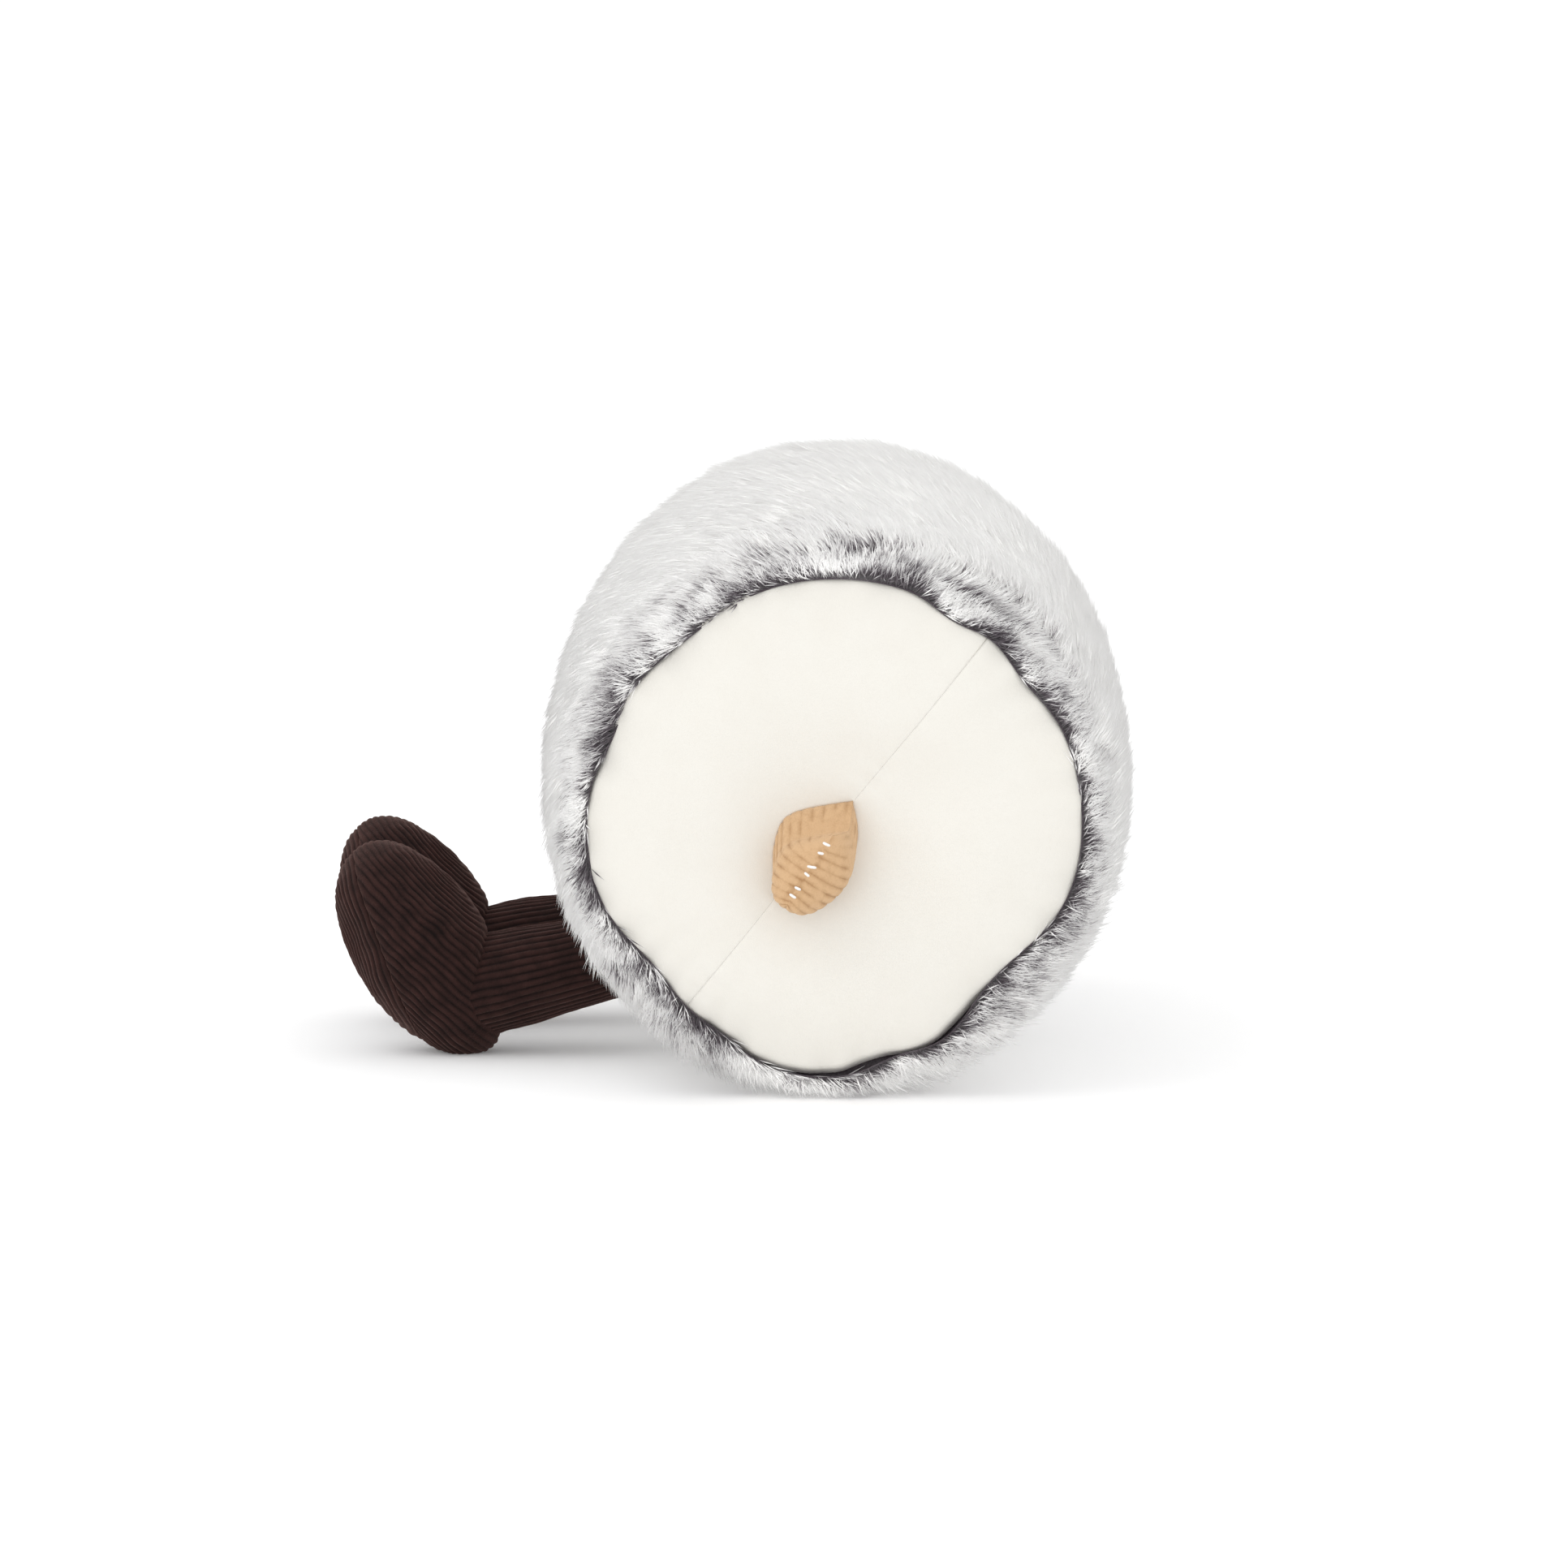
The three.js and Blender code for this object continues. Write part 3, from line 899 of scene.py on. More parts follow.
    def combing(self, points: np.ndarray, angle: np.ndarray, from_lip: np.ndarray) -> dict[str, np.ndarray]:
        """Says how the pile lies, how long it is and how dark, at points of the cloth.

        Args:
            points: The cloth's points at the left end.
            angle: Their angles round the log.
            from_lip: Their distance from the edge of the lip.

        Returns:
            The values that the tree reads, by name.
        """
        onward = unit(np.gradient(points, axis=0))
        around = unit(np.gradient(points, axis=1))
        lip = 1 - fade(0.5 * MM, self.lip_length, from_lip)
        rim = 1 - fade(6 * MM, 22 * MM, from_lip)
        underside = -np.sin(angle)
        seat = fade(0.80, 0.98, underside) * rim
        pressed = fade(0.80, 0.97, underside) * (1 - rim)
        low_back = 1 - fade(math.radians(5), math.radians(48), angle)
        low_front = fade(math.radians(170), math.radians(225), angle)

        # The pile lies round the barrel, and fans out from the panel at the rim.
        away = mix(0.3, mix(0.45, 0.38, low_front), rim)
        away = mix(away, mix(0.5, 0.8, rim), low_back)
        parted = mix(-np.tanh(1.7 * (np.cos(angle) - 0.15)), 0.95, low_back)
        nap = unit(-onward * away[..., None] + around * mix(1.0, parted, rim)[..., None])

        # The dark roots show in a band next to the panel, wider above and behind.
        wide = fade(-0.6, 0.9, np.cos(angle - self.mottle_widest))
        start, stop = mix(*self.mottle_start, wide), mix(*self.mottle_end, wide)
        mottle = 1 - np.clip((from_lip - start) / (stop - start), 0, 1)
        strand = mix(self.barrel_strand, self.rim_strand, 1 - fade(6 * MM, 20 * MM, from_lip))
        strand = mix(strand, self.lip_strand, lip)
        lift = mix(0.26, mix(0.62, 1.3, lip), rim)
        unevenness = Ripple(30 * MM, 51).at((angle * self.form.rim_radius)[..., None])
        shade = self.plain_shade + self.mottled_shade * mottle + (0.16 * unevenness + 0.06) * lip
        return {
            "nap": nap,
            "lift": lift * (1 - 0.35 * seat) * (1 - 0.6 * pressed),
            "strand": strand * (1 - 0.3 * pressed) * (1 + 0.2 * seat),
            "cover": (1 - 0.5 * pressed) * (1 + 0.25 * lip),
            # Painted light: the tone is lowered where the pile is pressed and on the rim's underside, so
            # the fur there is paler against the shade under the log.
            "shade": shade - 0.06 * pressed - 0.22 * seat - 0.05 * rim,
            "mottle": mottle * (1 - 0.6 * pressed) * (1 - 0.3 * seat),
            "wild": 1 + 1.8 * lip,
        }

    def strand_form(self) -> bpy.types.Object:
        """Makes the one strand that is planted over and over: a closed sliver of four faces."""
        points = [(0, 0, 0), (-0.5, 0.25, 0.4), (0.5, 0.25, 0.4), (0, 0, 1)]
        faces = [(0, 1, 2), (3, 2, 1), (0, 3, 1), (0, 2, 3)]
        mesh = bpy.data.meshes.new("strand")
        mesh.from_pydata(points, [], faces)
        for name, value in (("along", [p[2] for p in points]), ("across", [p[0] * 2 for p in points])):
            mesh.attributes.new(name, "FLOAT", "POINT").data.foreach_set("value", value)
        return put("strand", mesh)

    def build(self, backing: bpy.types.Material, pile: bpy.types.Material) -> None:
        """Makes the backing cloth and all the pile.

        Args:
            backing: The cloth's material.
            pile: The strands' material.
        """
        inner_nodes = ("rind_sleeve", "body_filling", "weight_pouch")
        hand_over(self.build_skin(), backing, inner_nodes)
        tree = pile_tree()
        strand = self.strand_form()
        for end in End:
            for number, sector in enumerate(self.sectors):
                planting = self.rim_planting if sector.zone is Zone.RIM else self.barrel_planting
                name = f"{end.label}_{sector.zone.value}_pile_{sector.label}"
                values = {"Strand": strand, "Finish": pile, "Seed": 10 + number, **planting.inputs()}
                piece = grown(name, self.carrier(end, sector), tree, values)
                hand_over(piece, pile, ("rind_sleeve",))
        bpy.data.objects.remove(strand)


# ---------- straw stubs ----------


@dataclass
class Straw:
    """The stub of straw in the middle of an end: a corduroy tube sewn shut at its tip."""

    form: LogForm
    half_length: float = 10.6 * MM
    half_width: float = 8.0 * MM
    root: float = 76 * MM
    tip: float = 96.5 * MM
    tip_length: float = 7.5 * MM
    seam_share: float = 0.84
    root_offset: tuple[float, float] = (-3.8 * MM, -2.9 * MM)
    droop: tuple[float, float] = (-0.3 * MM, -5.2 * MM)
    tip_droop: tuple[float, float] = (-1.3 * MM, -4.9 * MM)
    skew: float = 2.0 * MM
    taper: float = 0.4
    tilt: float = math.radians(57)
    wales: int = 24
    wale_points: int = 10
    rows: int = 22
    cap_rows: int = 29
    wale_depth: float = 0.24 * MM
    stitches: int = 6
    thread: float = 0.3 * MM

    @property
    def heading(self) -> np.ndarray:
        """Direction of the stub's long side, in Y and Z."""
        return np.array([math.cos(self.tilt), math.sin(self.tilt)])

    def outline(self, count: int) -> np.ndarray:
        """The stub's section, pointed above and blunt below, along its long and short sides."""
        fine = np.linspace(0, TURN, 4001)
        long, short = np.cos(fine), np.sin(fine)
        pointed = short * np.maximum(np.abs(short), 1e-9) ** mix(-0.3, 1.2, (long + 1) / 2)
        pointed = pointed * (1 - self.taper * fade(-0.15, 0.85, long) * (short > 0))
        lean = self.skew * np.maximum(long, 0) ** 2
        shape = np.stack([self.half_length * long, self.half_width * pointed - lean], axis=-1)
        walked = np.concatenate([[0], np.cumsum(np.linalg.norm(np.diff(shape, axis=0), axis=-1))])
        even = np.linspace(0, walked[-1], count + 1)
        return np.stack([np.interp(even, walked, shape[:, i]) for i in (0, 1)], axis=-1)

    def centre(self, x: np.ndarray) -> np.ndarray:
        """Middle of the stub, in Y and Z, at a place along the log."""
        edge, shoulder = self.form.panel_edge, self.tip - self.tip_length
        bent = fade(edge, shoulder + 1 * MM, x)[..., None]
        late = fade(shoulder - 2 * MM, self.tip, x)[..., None]
        drooped = mix(bent * np.array(self.droop), np.array(self.tip_droop), late)
        offset = np.array(self.root_offset) + drooped
        return offset + (0.0, self.form.middle_height)

    def placed(self, x: np.ndarray, along: np.ndarray, across: np.ndarray) -> np.ndarray:
        """Points of the stub from its own long and short sides."""
        long = self.heading
        short = np.array([-long[1], long[0]])
        flat = self.centre(x) + along[..., None] * long + across[..., None] * short
        return np.concatenate([x[..., None], flat], axis=-1)

    def opening(self, centre: np.ndarray, angle: np.ndarray, clearance: float) -> np.ndarray:
        """Radius of the way that the panel leaves for the stub, from a point in Y and Z."""
        outline = self.outline(400) * (1 + clearance / self.half_width)
        ring = self.placed(np.full(len(outline), self.form.panel_edge), *outline.T)
        away = ring[:, 1:] - centre
        bearing = np.arctan2(away[:, 1], away[:, 0])
        return np.interp(angle, bearing[:-1], np.linalg.norm(away[:-1], axis=-1), period=TURN)

    def build_cover(self, end: End) -> bpy.types.Object:
        """Makes the ribbed tube with its pillow end.

        Args:
            end: The end of the log.

        Returns:
            The object.
        """
        columns = self.wales * self.wale_points
        shape = self.outline(columns)
        shoulder = self.tip - self.tip_length
        bow = np.linspace(0, math.pi / 2, self.cap_rows + 1)[1:]
        x = np.linspace(self.root, shoulder, self.rows)
        x = np.concatenate([x, shoulder + self.tip_length * np.sin(bow)])
        bow = np.concatenate([np.zeros(self.rows), bow])
        narrow = np.cos(bow) ** 0.85
        narrow[-1] = 0.0
        shorter = mix(self.seam_share, 1.0, np.cos(bow))
        belly = 1 + 0.04 * np.sin(np.clip((x - self.root) / (shoulder - self.root), 0, 1) * math.pi)
        along = shape[None, :, 0] * (shorter * belly)[:, None]
        across = shape[None, :, 1] * (narrow * belly)[:, None]
        points = self.placed(x[:, None] + 0 * along, along, across)

        # The wales are sunk along the outward direction, and fade out towards the closed tip.
        outward = unit(np.cross(np.gradient(points, axis=1), np.gradient(points, axis=0)))
        middle = self.placed(x, 0 * x, 0 * x)[:, None]
        inverted = np.sum(outward * (points - middle + (1e-4, 0, 0)), axis=-1) < 0
        outward *= np.where(inverted, -1, 1)[..., None]
        rib = np.abs(np.sin(math.pi * (np.arange(columns + 1) / self.wale_points + 0.5))) ** 0.7
        upper = fade(-0.2, 0.9, shape[:, 0] / self.half_length)
        fading = np.minimum(1, np.linspace(3.2, 0, len(x)))[:, None]
        sunk = (rib - 1) * (1 - 0.7 * upper) * self.wale_depth * fading
        points = points + outward * sunk[..., None]
        points[:, -1] = points[:, 0]

        # The grooves' painted shadow is broken up at random and weaker towards the upper side; painted
        # shade darkens the crevice at the point, where the stub leaves the panel, and the colour is darker
        # in patches at the seam.
        groove_shadow = 0.6 + 0.4 * Ripple(5 * MM, 41).at(points) - 0.5 * upper
        wale = 1 - (1 - rib) * np.clip(groove_shadow, 0.05, 1.0)
        from_point = np.hypot(along - self.half_length, (x[:, None] - self.form.panel_edge) * 0.6)
        wale -= 0.6 * np.exp(-from_point / (1.2 * MM))
        at_seam = (1 - fade(0.0, 0.35, narrow))[:, None]
        wale -= 0.5 * at_seam * fade(0.0, 0.8, Ripple(3 * MM, 43).at(points))
        cap = np.repeat(middle[:1], columns + 1, axis=1)
        points = np.concatenate([cap, points]) * (end.sign, 1, 1)
        wale = np.concatenate([wale[:1], wale])
        wale[:, -1] = wale[:, 0]
        return sew(f"{end.label}_straw_stub", [Patch(points, {"wale": wale})])

    def build_stitches(self, end: End) -> bpy.types.Object:
        """Makes the slanted closing stitches across the tip.

        Args:
            end: The end of the log.

        Returns:
            The object.
        """
        grids = []
        turns = np.linspace(0, TURN, 9)
        draw = np.random.default_rng(17)
        for number in range(self.stitches):
            share = (number + 0.5 + draw.uniform(-0.25, 0.25)) / self.stitches * 2 - 1
            place = share * self.half_length * self.seam_share * 0.95
            slant = draw.uniform(-0.1, 0.45) * MM
            arc = np.linspace(-1, 1, 9)
            reach = draw.uniform(0.6, 1.1) * MM
            above = self.tip - draw.uniform(0.5, 0.9) * MM * arc**2 + 0.1 * MM
            spine = self.placed(above, place - slant * arc, reach * arc)
            ahead = unit(np.gradient(spine, axis=0))
            side = unit(np.cross(ahead, (1.0, 0.0, 0.0)))
            above = np.cross(side, ahead)
            size = self.thread * np.sqrt(np.maximum(1 - arc**8, 0))
            ring = side[:, None] * np.cos(turns)[:, None] + above[:, None] * np.sin(turns)[:, None]
            tube = spine[:, None] + ring * size[:, None, None]
            tube[:, -1] = tube[:, 0]
            corner = (0.01, number / self.stitches + 0.005)
            plain = {"wale": np.ones(tube.shape[:2])}
            grids.append(Patch(tube * (end.sign, 1, 1), plain, corner, (0.98, 0.15)))
        return sew(f"{end.label}_straw_stitches", grids)

    def build(self, end: End, cord: bpy.types.Material, thread: bpy.types.Material) -> None:
        """Makes the stub of one end and its stitches."""
        nodes = (f"{end.label}_straw_cover", f"{end.label}_straw_filling")
        hand_over(self.build_cover(end), cord, nodes)
        hand_over(self.build_stitches(end), thread, nodes[:1])


# ---------- end panels ----------


@dataclass
class EndPanel:
    """A round cream end, sewn from two padded halves."""

    form: LogForm
    straw: Straw
    thickness: float = 3 * MM
    crown: float = 2.4 * MM
    crown_radius: float = 33 * MM
    dimple: float = 0.9 * MM
    seam_angle: float = math.radians(51)
    seam_depth: float = 0.32 * MM
    seam_spread: float = 1.7 * MM
    gap: float = 0.004 * MM
    rows: int = 46
    columns: int = 130

    def face(self, radius: np.ndarray) -> np.ndarray:
        """How far the panel's face stands past its edge at a radius."""
        inner = mix(-self.dimple, self.crown, ease(np.minimum(radius / self.crown_radius, 1)))
        outer = (radius - self.crown_radius) / (self.form.panel_radius - self.crown_radius)
        return np.where(radius < self.crown_radius, inner, self.crown * (1 - np.clip(outer, 0, 1.2) ** 2))

    def build_half(self, end: End, half: Half) -> bpy.types.Object:
        """Makes one padded half of the panel.

        Args:
            end: The end of the log.
            half: Which half.

        Returns:
            The object.
        """
        seam = np.array([math.cos(self.seam_angle), math.sin(self.seam_angle)])
        pole = seam * float(np.dot(self.straw.root_offset, seam))
        share = np.linspace(0, 1, self.columns)
        sweep = math.pi * (0.4 * share + 0.6 * ease(share))
        angle = self.seam_angle + half.turn + sweep
        ray = np.stack([np.cos(angle), np.sin(angle)], axis=-1)
        inner = self.straw.opening(pole + (0, self.form.middle_height), angle, 0.1 * MM)
        across = ray @ pole
        edge = self.form.panel_radius - self.form.pinch(angle)
        outer = -across + np.sqrt(across**2 - pole @ pole + edge**2)
        rows = np.linspace(0, 1, self.rows)
        rows = 0.5 * rows + 0.5 * ease(rows)
        reach = mix(inner[None, :], outer[None, :], rows[:, None])
        flat = pole + ray[None, :] * reach[..., None]

        to_edge = outer[None, :] - reach
        from_straw = reach - inner[None, :]
        normal = np.array([-seam[1], seam[0]]) * (1 if half is Half.UPPER else -1)
        from_seam = np.abs(flat @ normal)
        flat = flat + normal * (self.gap * np.exp(-from_seam / (0.4 * MM)))[..., None]
        radius = np.linalg.norm(flat, axis=-1)
        along_seam = (flat @ seam)[..., None]
        face = self.face(radius)
        face -= 0.3 * MM * np.exp(-((from_straw / (4.5 * MM)) ** 2))
        face -= self.seam_depth * np.exp(-from_seam / self.seam_spread)
        face += 0.16 * MM * Ripple(5 * MM, 3).at(along_seam) * np.exp(-from_seam / (2.2 * MM))
        face += 0.35 * MM * Ripple(26 * MM, 5).at(flat)
        pull = np.exp(-to_edge / (5 * MM))
        face += 0.45 * MM * Ripple(7 * MM, 7).at((angle * 53 * MM)[:, None])[None, :] * pull
        face -= 0.25 * self.form.pinch(angle)[None, :] * np.exp(-to_edge / (8 * MM))
        face -= 2.4 * MM * (1 - fade(0, 1, to_edge / (2.2 * MM))) ** 2
        front = self.form.panel_edge + face
        lift = (0.0, self.form.middle_height)
        outside = np.concatenate([front[..., None], flat + lift], axis=-1)
        inside = np.concatenate([(front - self.thickness)[..., None], flat + lift], axis=-1)
        mirror = (end.sign, 1, 1)
        patches = [
            Patch(outside * mirror, {}, (0.01, 0.01), (0.98, 0.66)),
            Patch(inside * mirror, {}, (0.01, 0.69), (0.98, 0.12)),
        ]
        edges = (
            (outside[0], inside[0]), (outside[-1], inside[-1]),
            (outside[:, 0], inside[:, 0]), (outside[:, -1], inside[:, -1]),
        )
        for number, pair in enumerate(edges):
            patches.append(Patch(np.stack(pair) * mirror, {}, (0.01, 0.83 + 0.04 * number), (0.98, 0.03)))
        return sew(f"{end.label}_panel_{half.label}", patches)

    def build(self, end: End, velour: bpy.types.Material) -> None:
        """Makes both halves of one end's panel."""
        for half in Half:
            hand_over(self.build_half(end, half), velour,
                      (f"{end.label}_end_panel_{half.label}",))


# ---------- legs and feet ----------


@dataclass(frozen=True)
class Slices:
    """Flat parallel slices through an ellipsoid, tilted about the X axis."""

    half: tuple[float, float, float]
    tilt: float

    @property
    def terms(self) -> tuple[float, float, float]:
        """The slice plane's share of the ellipsoid's equation: along, mixed and across."""
        _, b, c = self.half
        s, k = math.sin(self.tilt), math.cos(self.tilt)
        return s * s / b**2 + k * k / c**2, s * k * (1 / c**2 - 1 / b**2), k * k / b**2 + s * s / c**2

    @property
    def reach(self) -> float:
        """Height of the last slice."""
        along, mixed, across = self.terms
        return 1 / math.sqrt(across - mixed**2 / along)

    def middle(self, height: np.ndarray) -> np.ndarray:
        """Where along its plane a slice's middle lies."""
        return -self.terms[1] / self.terms[0] * height

    def size(self, height: np.ndarray) -> np.ndarray:
        """Half of a slice's extent along its plane."""
        return np.sqrt(np.maximum(1 - (height / self.reach) ** 2, 0) / self.terms[0])

    def ring(self, height: np.ndarray, angle: np.ndarray) -> np.ndarray:
        """Points on the slices at some heights and angles."""
        round_share = np.sqrt(np.maximum(1 - (height / self.reach) ** 2, 0))
        along = self.middle(height) + self.size(height) * np.cos(angle)
        s, k = math.sin(self.tilt), math.cos(self.tilt)
        x = self.half[0] * round_share * np.sin(angle)
        return np.stack([x, height * k - along * s, height * s + along * k], axis=-1)

    def heights(self, low: float, high: float, step: float) -> np.ndarray:
        """Slice heights from low to high, evenly stepped along the ellipsoid's face."""
        width = (self.half[0] + self.size(np.zeros(1))[0]) / 2
        turn = np.linspace(math.asin(max(low / self.reach, -1)), math.asin(min(high / self.reach, 1)), 2001)
        speed = np.hypot(self.reach * np.cos(turn), width * np.sin(turn))
        walked = np.concatenate([[0], np.cumsum((speed[1:] + speed[:-1]) / 2 * np.diff(turn))])
        count = max(int(round(walked[-1] / step)), 8)
        even = np.linspace(0, walked[-1], count + 1)
        return self.reach * np.sin(np.interp(even, walked, turn))


@dataclass
class Limb:
    """One corduroy leg and its foot, which is sewn from an upper and a sole."""

    form: LogForm
    spacing: float = 43 * MM
    ankle: tuple[float, float] = (-84 * MM, 13.8 * MM)
    hip: tuple[float, float] = (-41 * MM, 23.9 * MM)
    ankle_half: tuple[float, float] = (10 * MM, 11.9 * MM)
    hip_half: tuple[float, float] = (9 * MM, 9.1 * MM)
    foot_half: tuple[float, float, float] = (13.5 * MM, 15.1 * MM, 27.0 * MM)
    foot_lean: float = math.radians(32)
    foot_flat: float = 1.2 * MM
    foot_ahead: float = 8.1 * MM
    seam_offset: float = 7.7 * MM
    seam_gap: float = 0.05 * MM
    seam_tilt: float = math.radians(-12)
    wale_tilt: float = math.radians(14)
    hip_sink: float = 4.5 * MM
    pitch: float = 1.7 * MM
    wale_depth: float = 0.38 * MM
    samples: int = 8

    @property
    def seam_way(self) -> np.ndarray:
        """Direction square to the side seam, from the sole to the ankle."""
        return np.array([0.0, math.cos(self.seam_tilt), math.sin(self.seam_tilt)])

    @property
    def set_back(self) -> float:
        """How far the side seam's plane lies from the foot's middle."""
        return self.seam_offset * math.cos(self.seam_tilt)

    def foot_place(self, end: End, local: np.ndarray) -> np.ndarray:
        """Turns the foot's own points to where it lies, toe up and leaning forward."""
        s, k = math.sin(self.foot_lean), math.cos(self.foot_lean)
        lowest = math.hypot(self.foot_half[2] * k, self.foot_half[1] * s) - self.foot_flat
        x, y, z = np.moveaxis(local, -1, 0)
        middle = self.ankle[0] - self.foot_ahead - end.leg_reach
        x = x + end.sign * self.spacing / 2
        return np.stack([x, y * k - z * s + middle, y * s + z * k + lowest], axis=-1)

    def leg_line(self, end: End) -> tuple[np.ndarray, np.ndarray]:
        """The leg's two ends: inside the foot and inside the log."""
        x = end.sign * self.spacing / 2
        return (np.array([x, self.ankle[0] - end.leg_reach, self.ankle[1]]), np.array([x, *self.hip]))

    def from_leg(self, end: End, points: np.ndarray) -> np.ndarray:
        """Rough distance of points from the leg's own surface."""
        ankle, hip = self.leg_line(end)
        run = hip - ankle
        share = np.clip((points - ankle) @ run / (run @ run), -0.3, 1)
        away = points - (ankle + share[..., None] * run)
        up = unit(np.cross((1.0, 0.0, 0.0), run))
        wide, tall = (mix(a, b, np.maximum(share, 0)) for a, b in zip(self.ankle_half, self.hip_half))
        ratio = np.sqrt((away[..., 0] / wide) ** 2 + ((away @ up) / tall) ** 2)
        ahead = np.maximum(-share * np.linalg.norm(run), 0)
        return (ratio - 1) * (wide + tall) / 2 + ahead

    def ribbed(self, end: End, local: np.ndarray, phase: np.ndarray,
               to_seam: np.ndarray) -> tuple[np.ndarray, np.ndarray]:
        """Raises the ribs on the foot's points and draws them in at the seams.

        Args:
            end: The leg's end of the log.
            local: The foot's own points.
            phase: How many ribs each point is from the first.
            to_seam: Distance of each point from the side seam.

        Returns:
            The points in place, and the height of the rib at each.
        """
        outward = unit(local / np.square(self.foot_half))
        wobble = 0.12 * Ripple(9 * MM, 21).at(local)
        rib = np.abs(np.sin(math.pi * (phase + wobble)))
        rib = rib * mix(0.6, 1.0, fade(-1, 1, Ripple(4 * MM, 22).at(local)))
        shift = -0.45 * MM * np.exp(-to_seam / (0.5 * MM))
        shift += 0.35 * MM * Ripple(14 * MM, 23).at(local)
        placed = self.foot_place(end, local)
        near_leg = np.exp(-((self.from_leg(end, placed) / (1.1 * MM)) ** 2))
        shift -= 0.7 * MM * near_leg * (placed[..., 1] > self.ankle[0] - 4 * MM)
        moved = self.foot_place(end, local + outward * (shift + (rib - 1) * self.wale_depth)[..., None])
        moved[..., 2] = np.maximum(moved[..., 2], 0.0)
        return moved, rib

    def build_upper(self, end: End) -> bpy.types.Object:
        """Makes the foot's upper, with ribs that run from heel to toe."""
        slices = Slices(self.foot_half, self.wale_tilt)
        lean = self.wale_tilt - self.seam_tilt
        heights = slices.heights(-slices.reach, slices.reach, self.pitch / self.samples)
        limit = (heights * math.cos(lean) + self.set_back) / math.sin(lean)
        size = np.maximum(slices.size(heights), 1e-9)
        ratio = (limit - slices.middle(heights)) / size
        keep = ratio > -1
        heights, ratio = heights[keep], np.minimum(ratio[keep], 1.0)
        sweep = math.pi - np.arccos(ratio)
        angle = math.pi + sweep[:, None] * np.linspace(-1, 1, 121)[None, :]
        level = heights[:, None] + 0 * angle
        local = slices.ring(level, angle)
        phase = np.arange(len(heights))[::-1, None] / self.samples + 0 * angle
        to_seam = np.maximum(local @ self.seam_way + self.set_back, 0)
        points, rib = self.ribbed(end, local, phase, to_seam)
        wall = np.stack([points[:, 0], (points[:, 0] + points[:, -1]) / 2, points[:, -1]], axis=1)
        flat = np.ones(wall.shape[:2])
        # The rib height is also the colour's `wale` value, so the grooves take the corduroy's painted
        # shade.
        return sew(f"{end.label}_foot_upper_cord", [
            Patch(points, {"wale": rib}, (0.01, 0.01), (0.98, 0.86)),
            Patch(wall, {"wale": flat}, (0.01, 0.89), (0.98, 0.1)),
        ])

    def build_sole(self, end: End) -> bpy.types.Object:
        """Makes the foot's sole, with ribs that follow its outline."""
        slices = Slices(self.foot_half, self.seam_tilt)
        set_back = self.set_back + self.seam_gap
        heights = slices.heights(-slices.reach, -set_back, self.pitch / self.samples)
        angle = np.linspace(0, TURN, 161)
        angle[-1] = 0.0
        local = slices.ring(heights[:, None] + 0 * angle, angle[None, :] + 0 * heights[:, None])
        phase = np.arange(len(heights))[::-1, None] / self.samples + 0.25 + 0 * angle
        to_seam = np.maximum(-(local @ self.seam_way) - set_back, 0)
        points, rib = self.ribbed(end, local, phase, to_seam)
        points[0] = points[0].mean(axis=0)
        points[:, -1] = points[:, 0]
        hub = np.repeat(points[-1:, :-1].mean(axis=1)[:, None], len(angle), axis=1)
        points = np.concatenate([points, hub])
        rib = np.concatenate([rib, rib[-1:]])
        # The rib height is also the colour's `wale` value, so the grooves take the corduroy's painted
        # shade.
        return sew(f"{end.label}_foot_sole_cord", [Patch(points, {"wale": rib})])

    def build_leg(self, end: End) -> bpy.types.Object:
        """Makes the leg, with ribs along its length."""
        ankle, hip = self.leg_line(end)
        run = hip - ankle
        up = unit(np.cross((1.0, 0.0, 0.0), run))
        girth = math.pi * (self.ankle_half[0] + self.ankle_half[1])
        wales = int(round(girth / self.pitch))
        angle = np.linspace(0, TURN, wales * self.samples + 1)
        angle[-1] = 0.0

        def placed(share: np.ndarray) -> tuple[np.ndarray, np.ndarray]:
            """Middle of the leg, and its plain surface, at shares of the way to the hip."""
            wide, tall = (mix(a, b, share)[..., None] for a, b in zip(self.ankle_half, self.hip_half))
            spoke = np.cos(angle)[None, :, None] * np.array([1.0, 0, 0]) * wide
            spoke = spoke + np.sin(angle)[None, :, None] * up * tall
            centre = ankle + share[..., None] * run
            return centre, centre + spoke

        fine = np.repeat(np.linspace(0, 1, 161)[:, None], len(angle), axis=1)
        sunk = self.form.depth(placed(fine)[1]) > self.hip_sink
        last = np.where(sunk.any(axis=0), fine[np.argmax(sunk, axis=0), 0], 1.0)[None, :]
        share = mix(-0.02, last, np.linspace(0, 1, 56)[:, None])
        centre, base = placed(share)
        wobble = 0.1 * Ripple(12 * MM, 33).at(base)
        rib = np.abs(np.sin(math.pi * (np.linspace(0, wales, len(angle)) + wobble)))
        rib = rib * mix(0.65, 1.0, fade(-1, 1, Ripple(4 * MM, 32).at(base)))
        lumps = 0.25 * MM * Ripple(19 * MM, 31).at(base)
        points = base + unit(base - centre) * ((rib - 1) * self.wale_depth + lumps)[..., None]
        points[..., 2] = np.maximum(points[..., 2], 0.0)
        points[:, -1] = points[:, 0]
        caps = [np.repeat(points[i, :-1].mean(axis=0)[None, None], len(angle), axis=1) for i in (0, -1)]
        points = np.concatenate([caps[0], points, caps[1]])
        rib = np.concatenate([rib[:1], rib, rib[-1:]])
        # The rib height is also the colour's `wale` value, so the grooves take the corduroy's painted
        # shade.
        return sew(f"{end.label}_leg_cord", [Patch(points, {"wale": rib})])

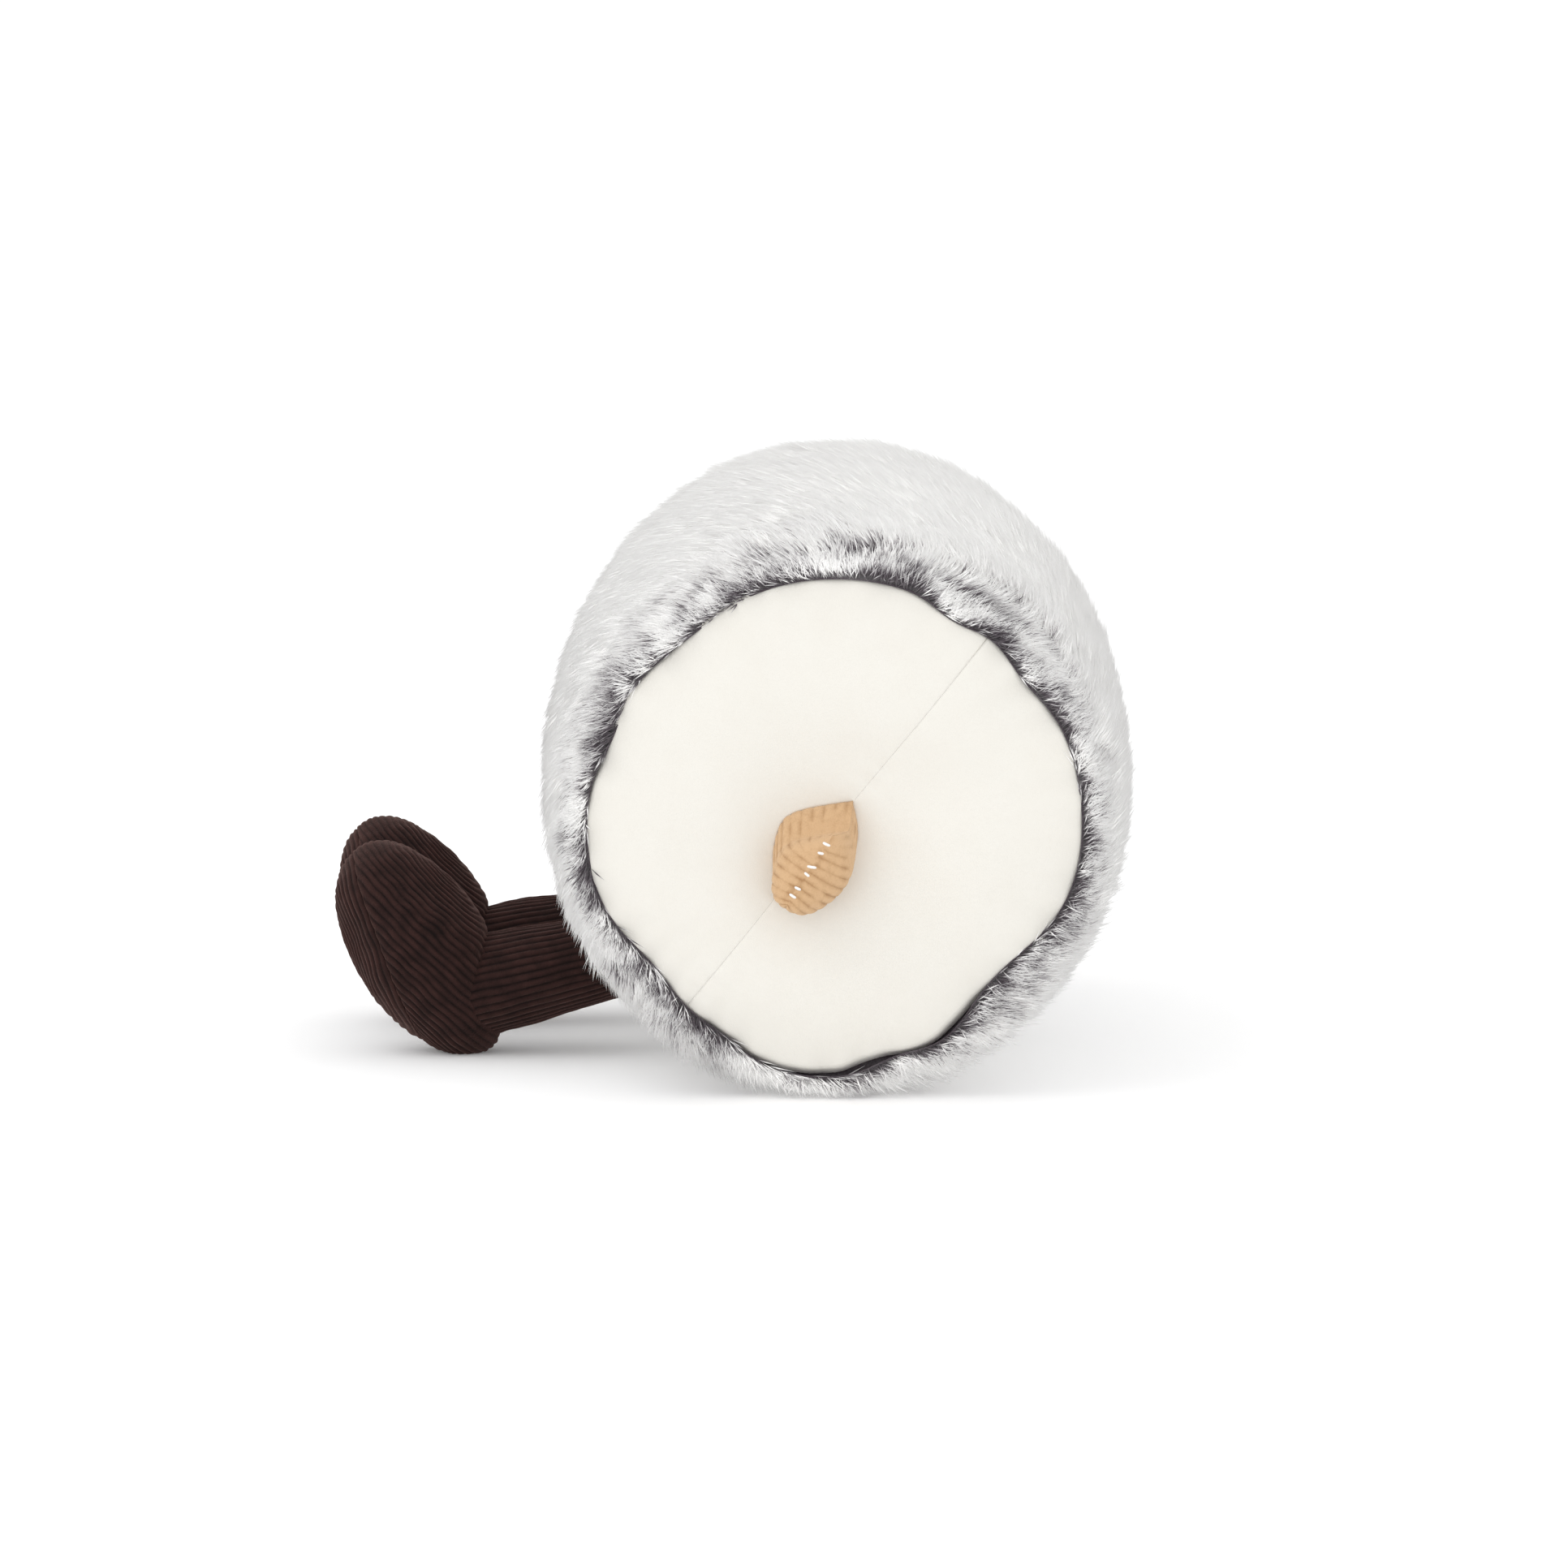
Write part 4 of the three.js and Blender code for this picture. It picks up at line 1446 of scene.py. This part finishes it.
    def build(self, end: End, cord: bpy.types.Material) -> None:
        """Makes the leg and both parts of the foot."""
        for piece, nodes, fill in (
            (self.build_leg(end), ("leg_sleeve", "leg_filling"), 0.75),
            (self.build_upper(end), ("foot_upper", "foot_filling"), 0.8),
            (self.build_sole(end), ("foot_sole",), 0.8),
        ):
            hand_over(piece, cord, [f"{end.label}_{node}" for node in nodes])


# ---------- studio ----------


@dataclass(frozen=True)
class SoftLight:
    """One square soft light."""

    name: str
    place: tuple[float, float, float]
    size: float
    power: float


@dataclass
class Studio:
    """A white floor, soft white light, and the camera."""

    form: LogForm
    distance: float = 1.5
    elevation: float = math.radians(7)
    yaw: float = math.radians(0.9)
    aim_side: float = -10.71 * MM
    aim_rise: float = 8.98 * MM
    field_of_view: float = math.radians(12.694)
    target: tuple[float, float, float] = (84 * MM, 0.0, 58.8 * MM)
    floor_half: float = 6.0
    surround: float = 1.06
    floor_glow: float = 0.08
    lights: tuple[SoftLight, ...] = (
        SoftLight("front_above", (0.5, -0.9, 1.3), 1.2, 4.5),
    )

    def build_camera(self) -> None:
        """Places the camera in front of the left end, looking slightly down."""
        flat = math.cos(self.elevation)
        ahead = Vector((-flat * math.cos(self.yaw), -flat * math.sin(self.yaw), -math.sin(self.elevation)))
        right = ahead.cross(Vector((0, 0, 1))).normalized()
        up = right.cross(ahead)
        aim = Vector(self.target) + right * self.aim_side + up * self.aim_rise
        lens = bpy.data.cameras.new("camera")
        lens.sensor_fit = "HORIZONTAL"
        lens.angle = self.field_of_view
        lens.clip_start = 0.05
        camera = put("camera", lens)
        turn = Matrix((right, up, -ahead)).transposed().to_4x4()
        camera.matrix_world = Matrix.Translation(aim - ahead * self.distance) @ turn
        bpy.context.scene.camera = camera

    def build_floor(self) -> None:
        """Makes the plain white floor."""
        side = np.linspace(-self.floor_half, self.floor_half, 3)
        y, x = np.meshgrid(side, side)
        floor = sew("floor", [Patch(np.stack([x, y, 0 * x], axis=-1))], closed=False)
        material = bpy.data.materials.new("white floor")
        material.use_nodes = True
        shader = material.node_tree.nodes["Principled BSDF"]
        shader.inputs["Base Color"].default_value = (0.95, 0.95, 0.952, 1)
        shader.inputs["Roughness"].default_value = 0.8
        shader.inputs["Specular IOR Level"].default_value = 0.1
        shader.inputs["Emission Color"].default_value = (1, 1, 1, 1)
        shader.inputs["Emission Strength"].default_value = self.floor_glow
        floor.data.materials.append(material)

    def build_light(self) -> None:
        """Makes the white surround and the soft lights."""
        world = bpy.data.worlds.new("white surround")
        bpy.context.scene.world = world
        wiring = Wiring.blank(world)
        glow = wiring.take("ShaderNodeBackground", {"Color": (1, 1, 1, 1), "Strength": self.surround})
        wiring.add("ShaderNodeOutputWorld", {"Surface": glow})
        for light in self.lights:
            lamp = bpy.data.lights.new(light.name, "AREA")
            lamp.size = light.size
            lamp.energy = light.power
            holder = put(light.name, lamp)
            holder.location = light.place
            aim = Vector((0, 0, self.form.middle_height)) - Vector(light.place)
            holder.rotation_euler = aim.to_track_quat("-Z", "Y").to_euler()

    def build(self) -> None:
        """Makes the whole studio."""
        self.build_camera()
        self.build_floor()
        self.build_light()
        bpy.context.scene.view_settings.view_transform = "Standard"


# ---------- the toy ----------


def main() -> None:
    """Builds the toy piece by piece, and then the studio."""
    logging.basicConfig(level=logging.INFO, format="%(name)s: %(message)s")
    nap = nap_group()
    backing = ClothFinish(
        "dark backing", (0.72, 0.71, 0.70), (0.075, 0.060, 0.070), True, 0.15, 0.1 * MM, roughness=0.95)
    velour = ClothFinish(
        "cream velour", (0.832, 0.812, 0.757), (0.81, 0.785, 0.725), False, 0.5, 0.06 * MM,
        fibre=0.25 * MM, patch=9 * MM, roughness=0.85, sheen=0.25)
    # The corduroys' groove colours, far darker than their ridges, are painted shade in the grooves.
    straw_cord = ClothFinish(
        "straw corduroy", (0.665, 0.435, 0.245), (0.42, 0.235, 0.11), True, 0.32, 0.2 * MM,
        fibre=0.35 * MM, patch=1.6 * MM, sheen=0.2, sheen_tint=(1.0, 0.9, 0.75))
    brown_cord = ClothFinish(
        "brown corduroy", (0.034, 0.0142, 0.0122), (0.0035, 0.0015, 0.0015), True, 0.3, 0.16 * MM,
        fibre=0.35 * MM, patch=5 * MM, sheen=0.28, sheen_tint=(0.62, 0.36, 0.31))
    thread = ClothFinish(
        "white thread", (0.93, 0.92, 0.90), (0.75, 0.73, 0.70), True, 0.1, 0.04 * MM, fibre=0.12 * MM)

    form = LogForm()
    Sleeve(form).build(backing.material(nap), PileFinish().material())
    straw = Straw(form)
    panel = EndPanel(form, straw)
    limb = Limb(form)
    cords = straw_cord.material(nap), brown_cord.material(nap)
    cream, white = velour.material(nap), thread.material(nap)
    for end in End:
        panel.build(end, cream)
        straw.build(end, cords[0], white)
        limb.build(end, cords[1])
    Studio(form).build()


if __name__ == "__main__":
    main()
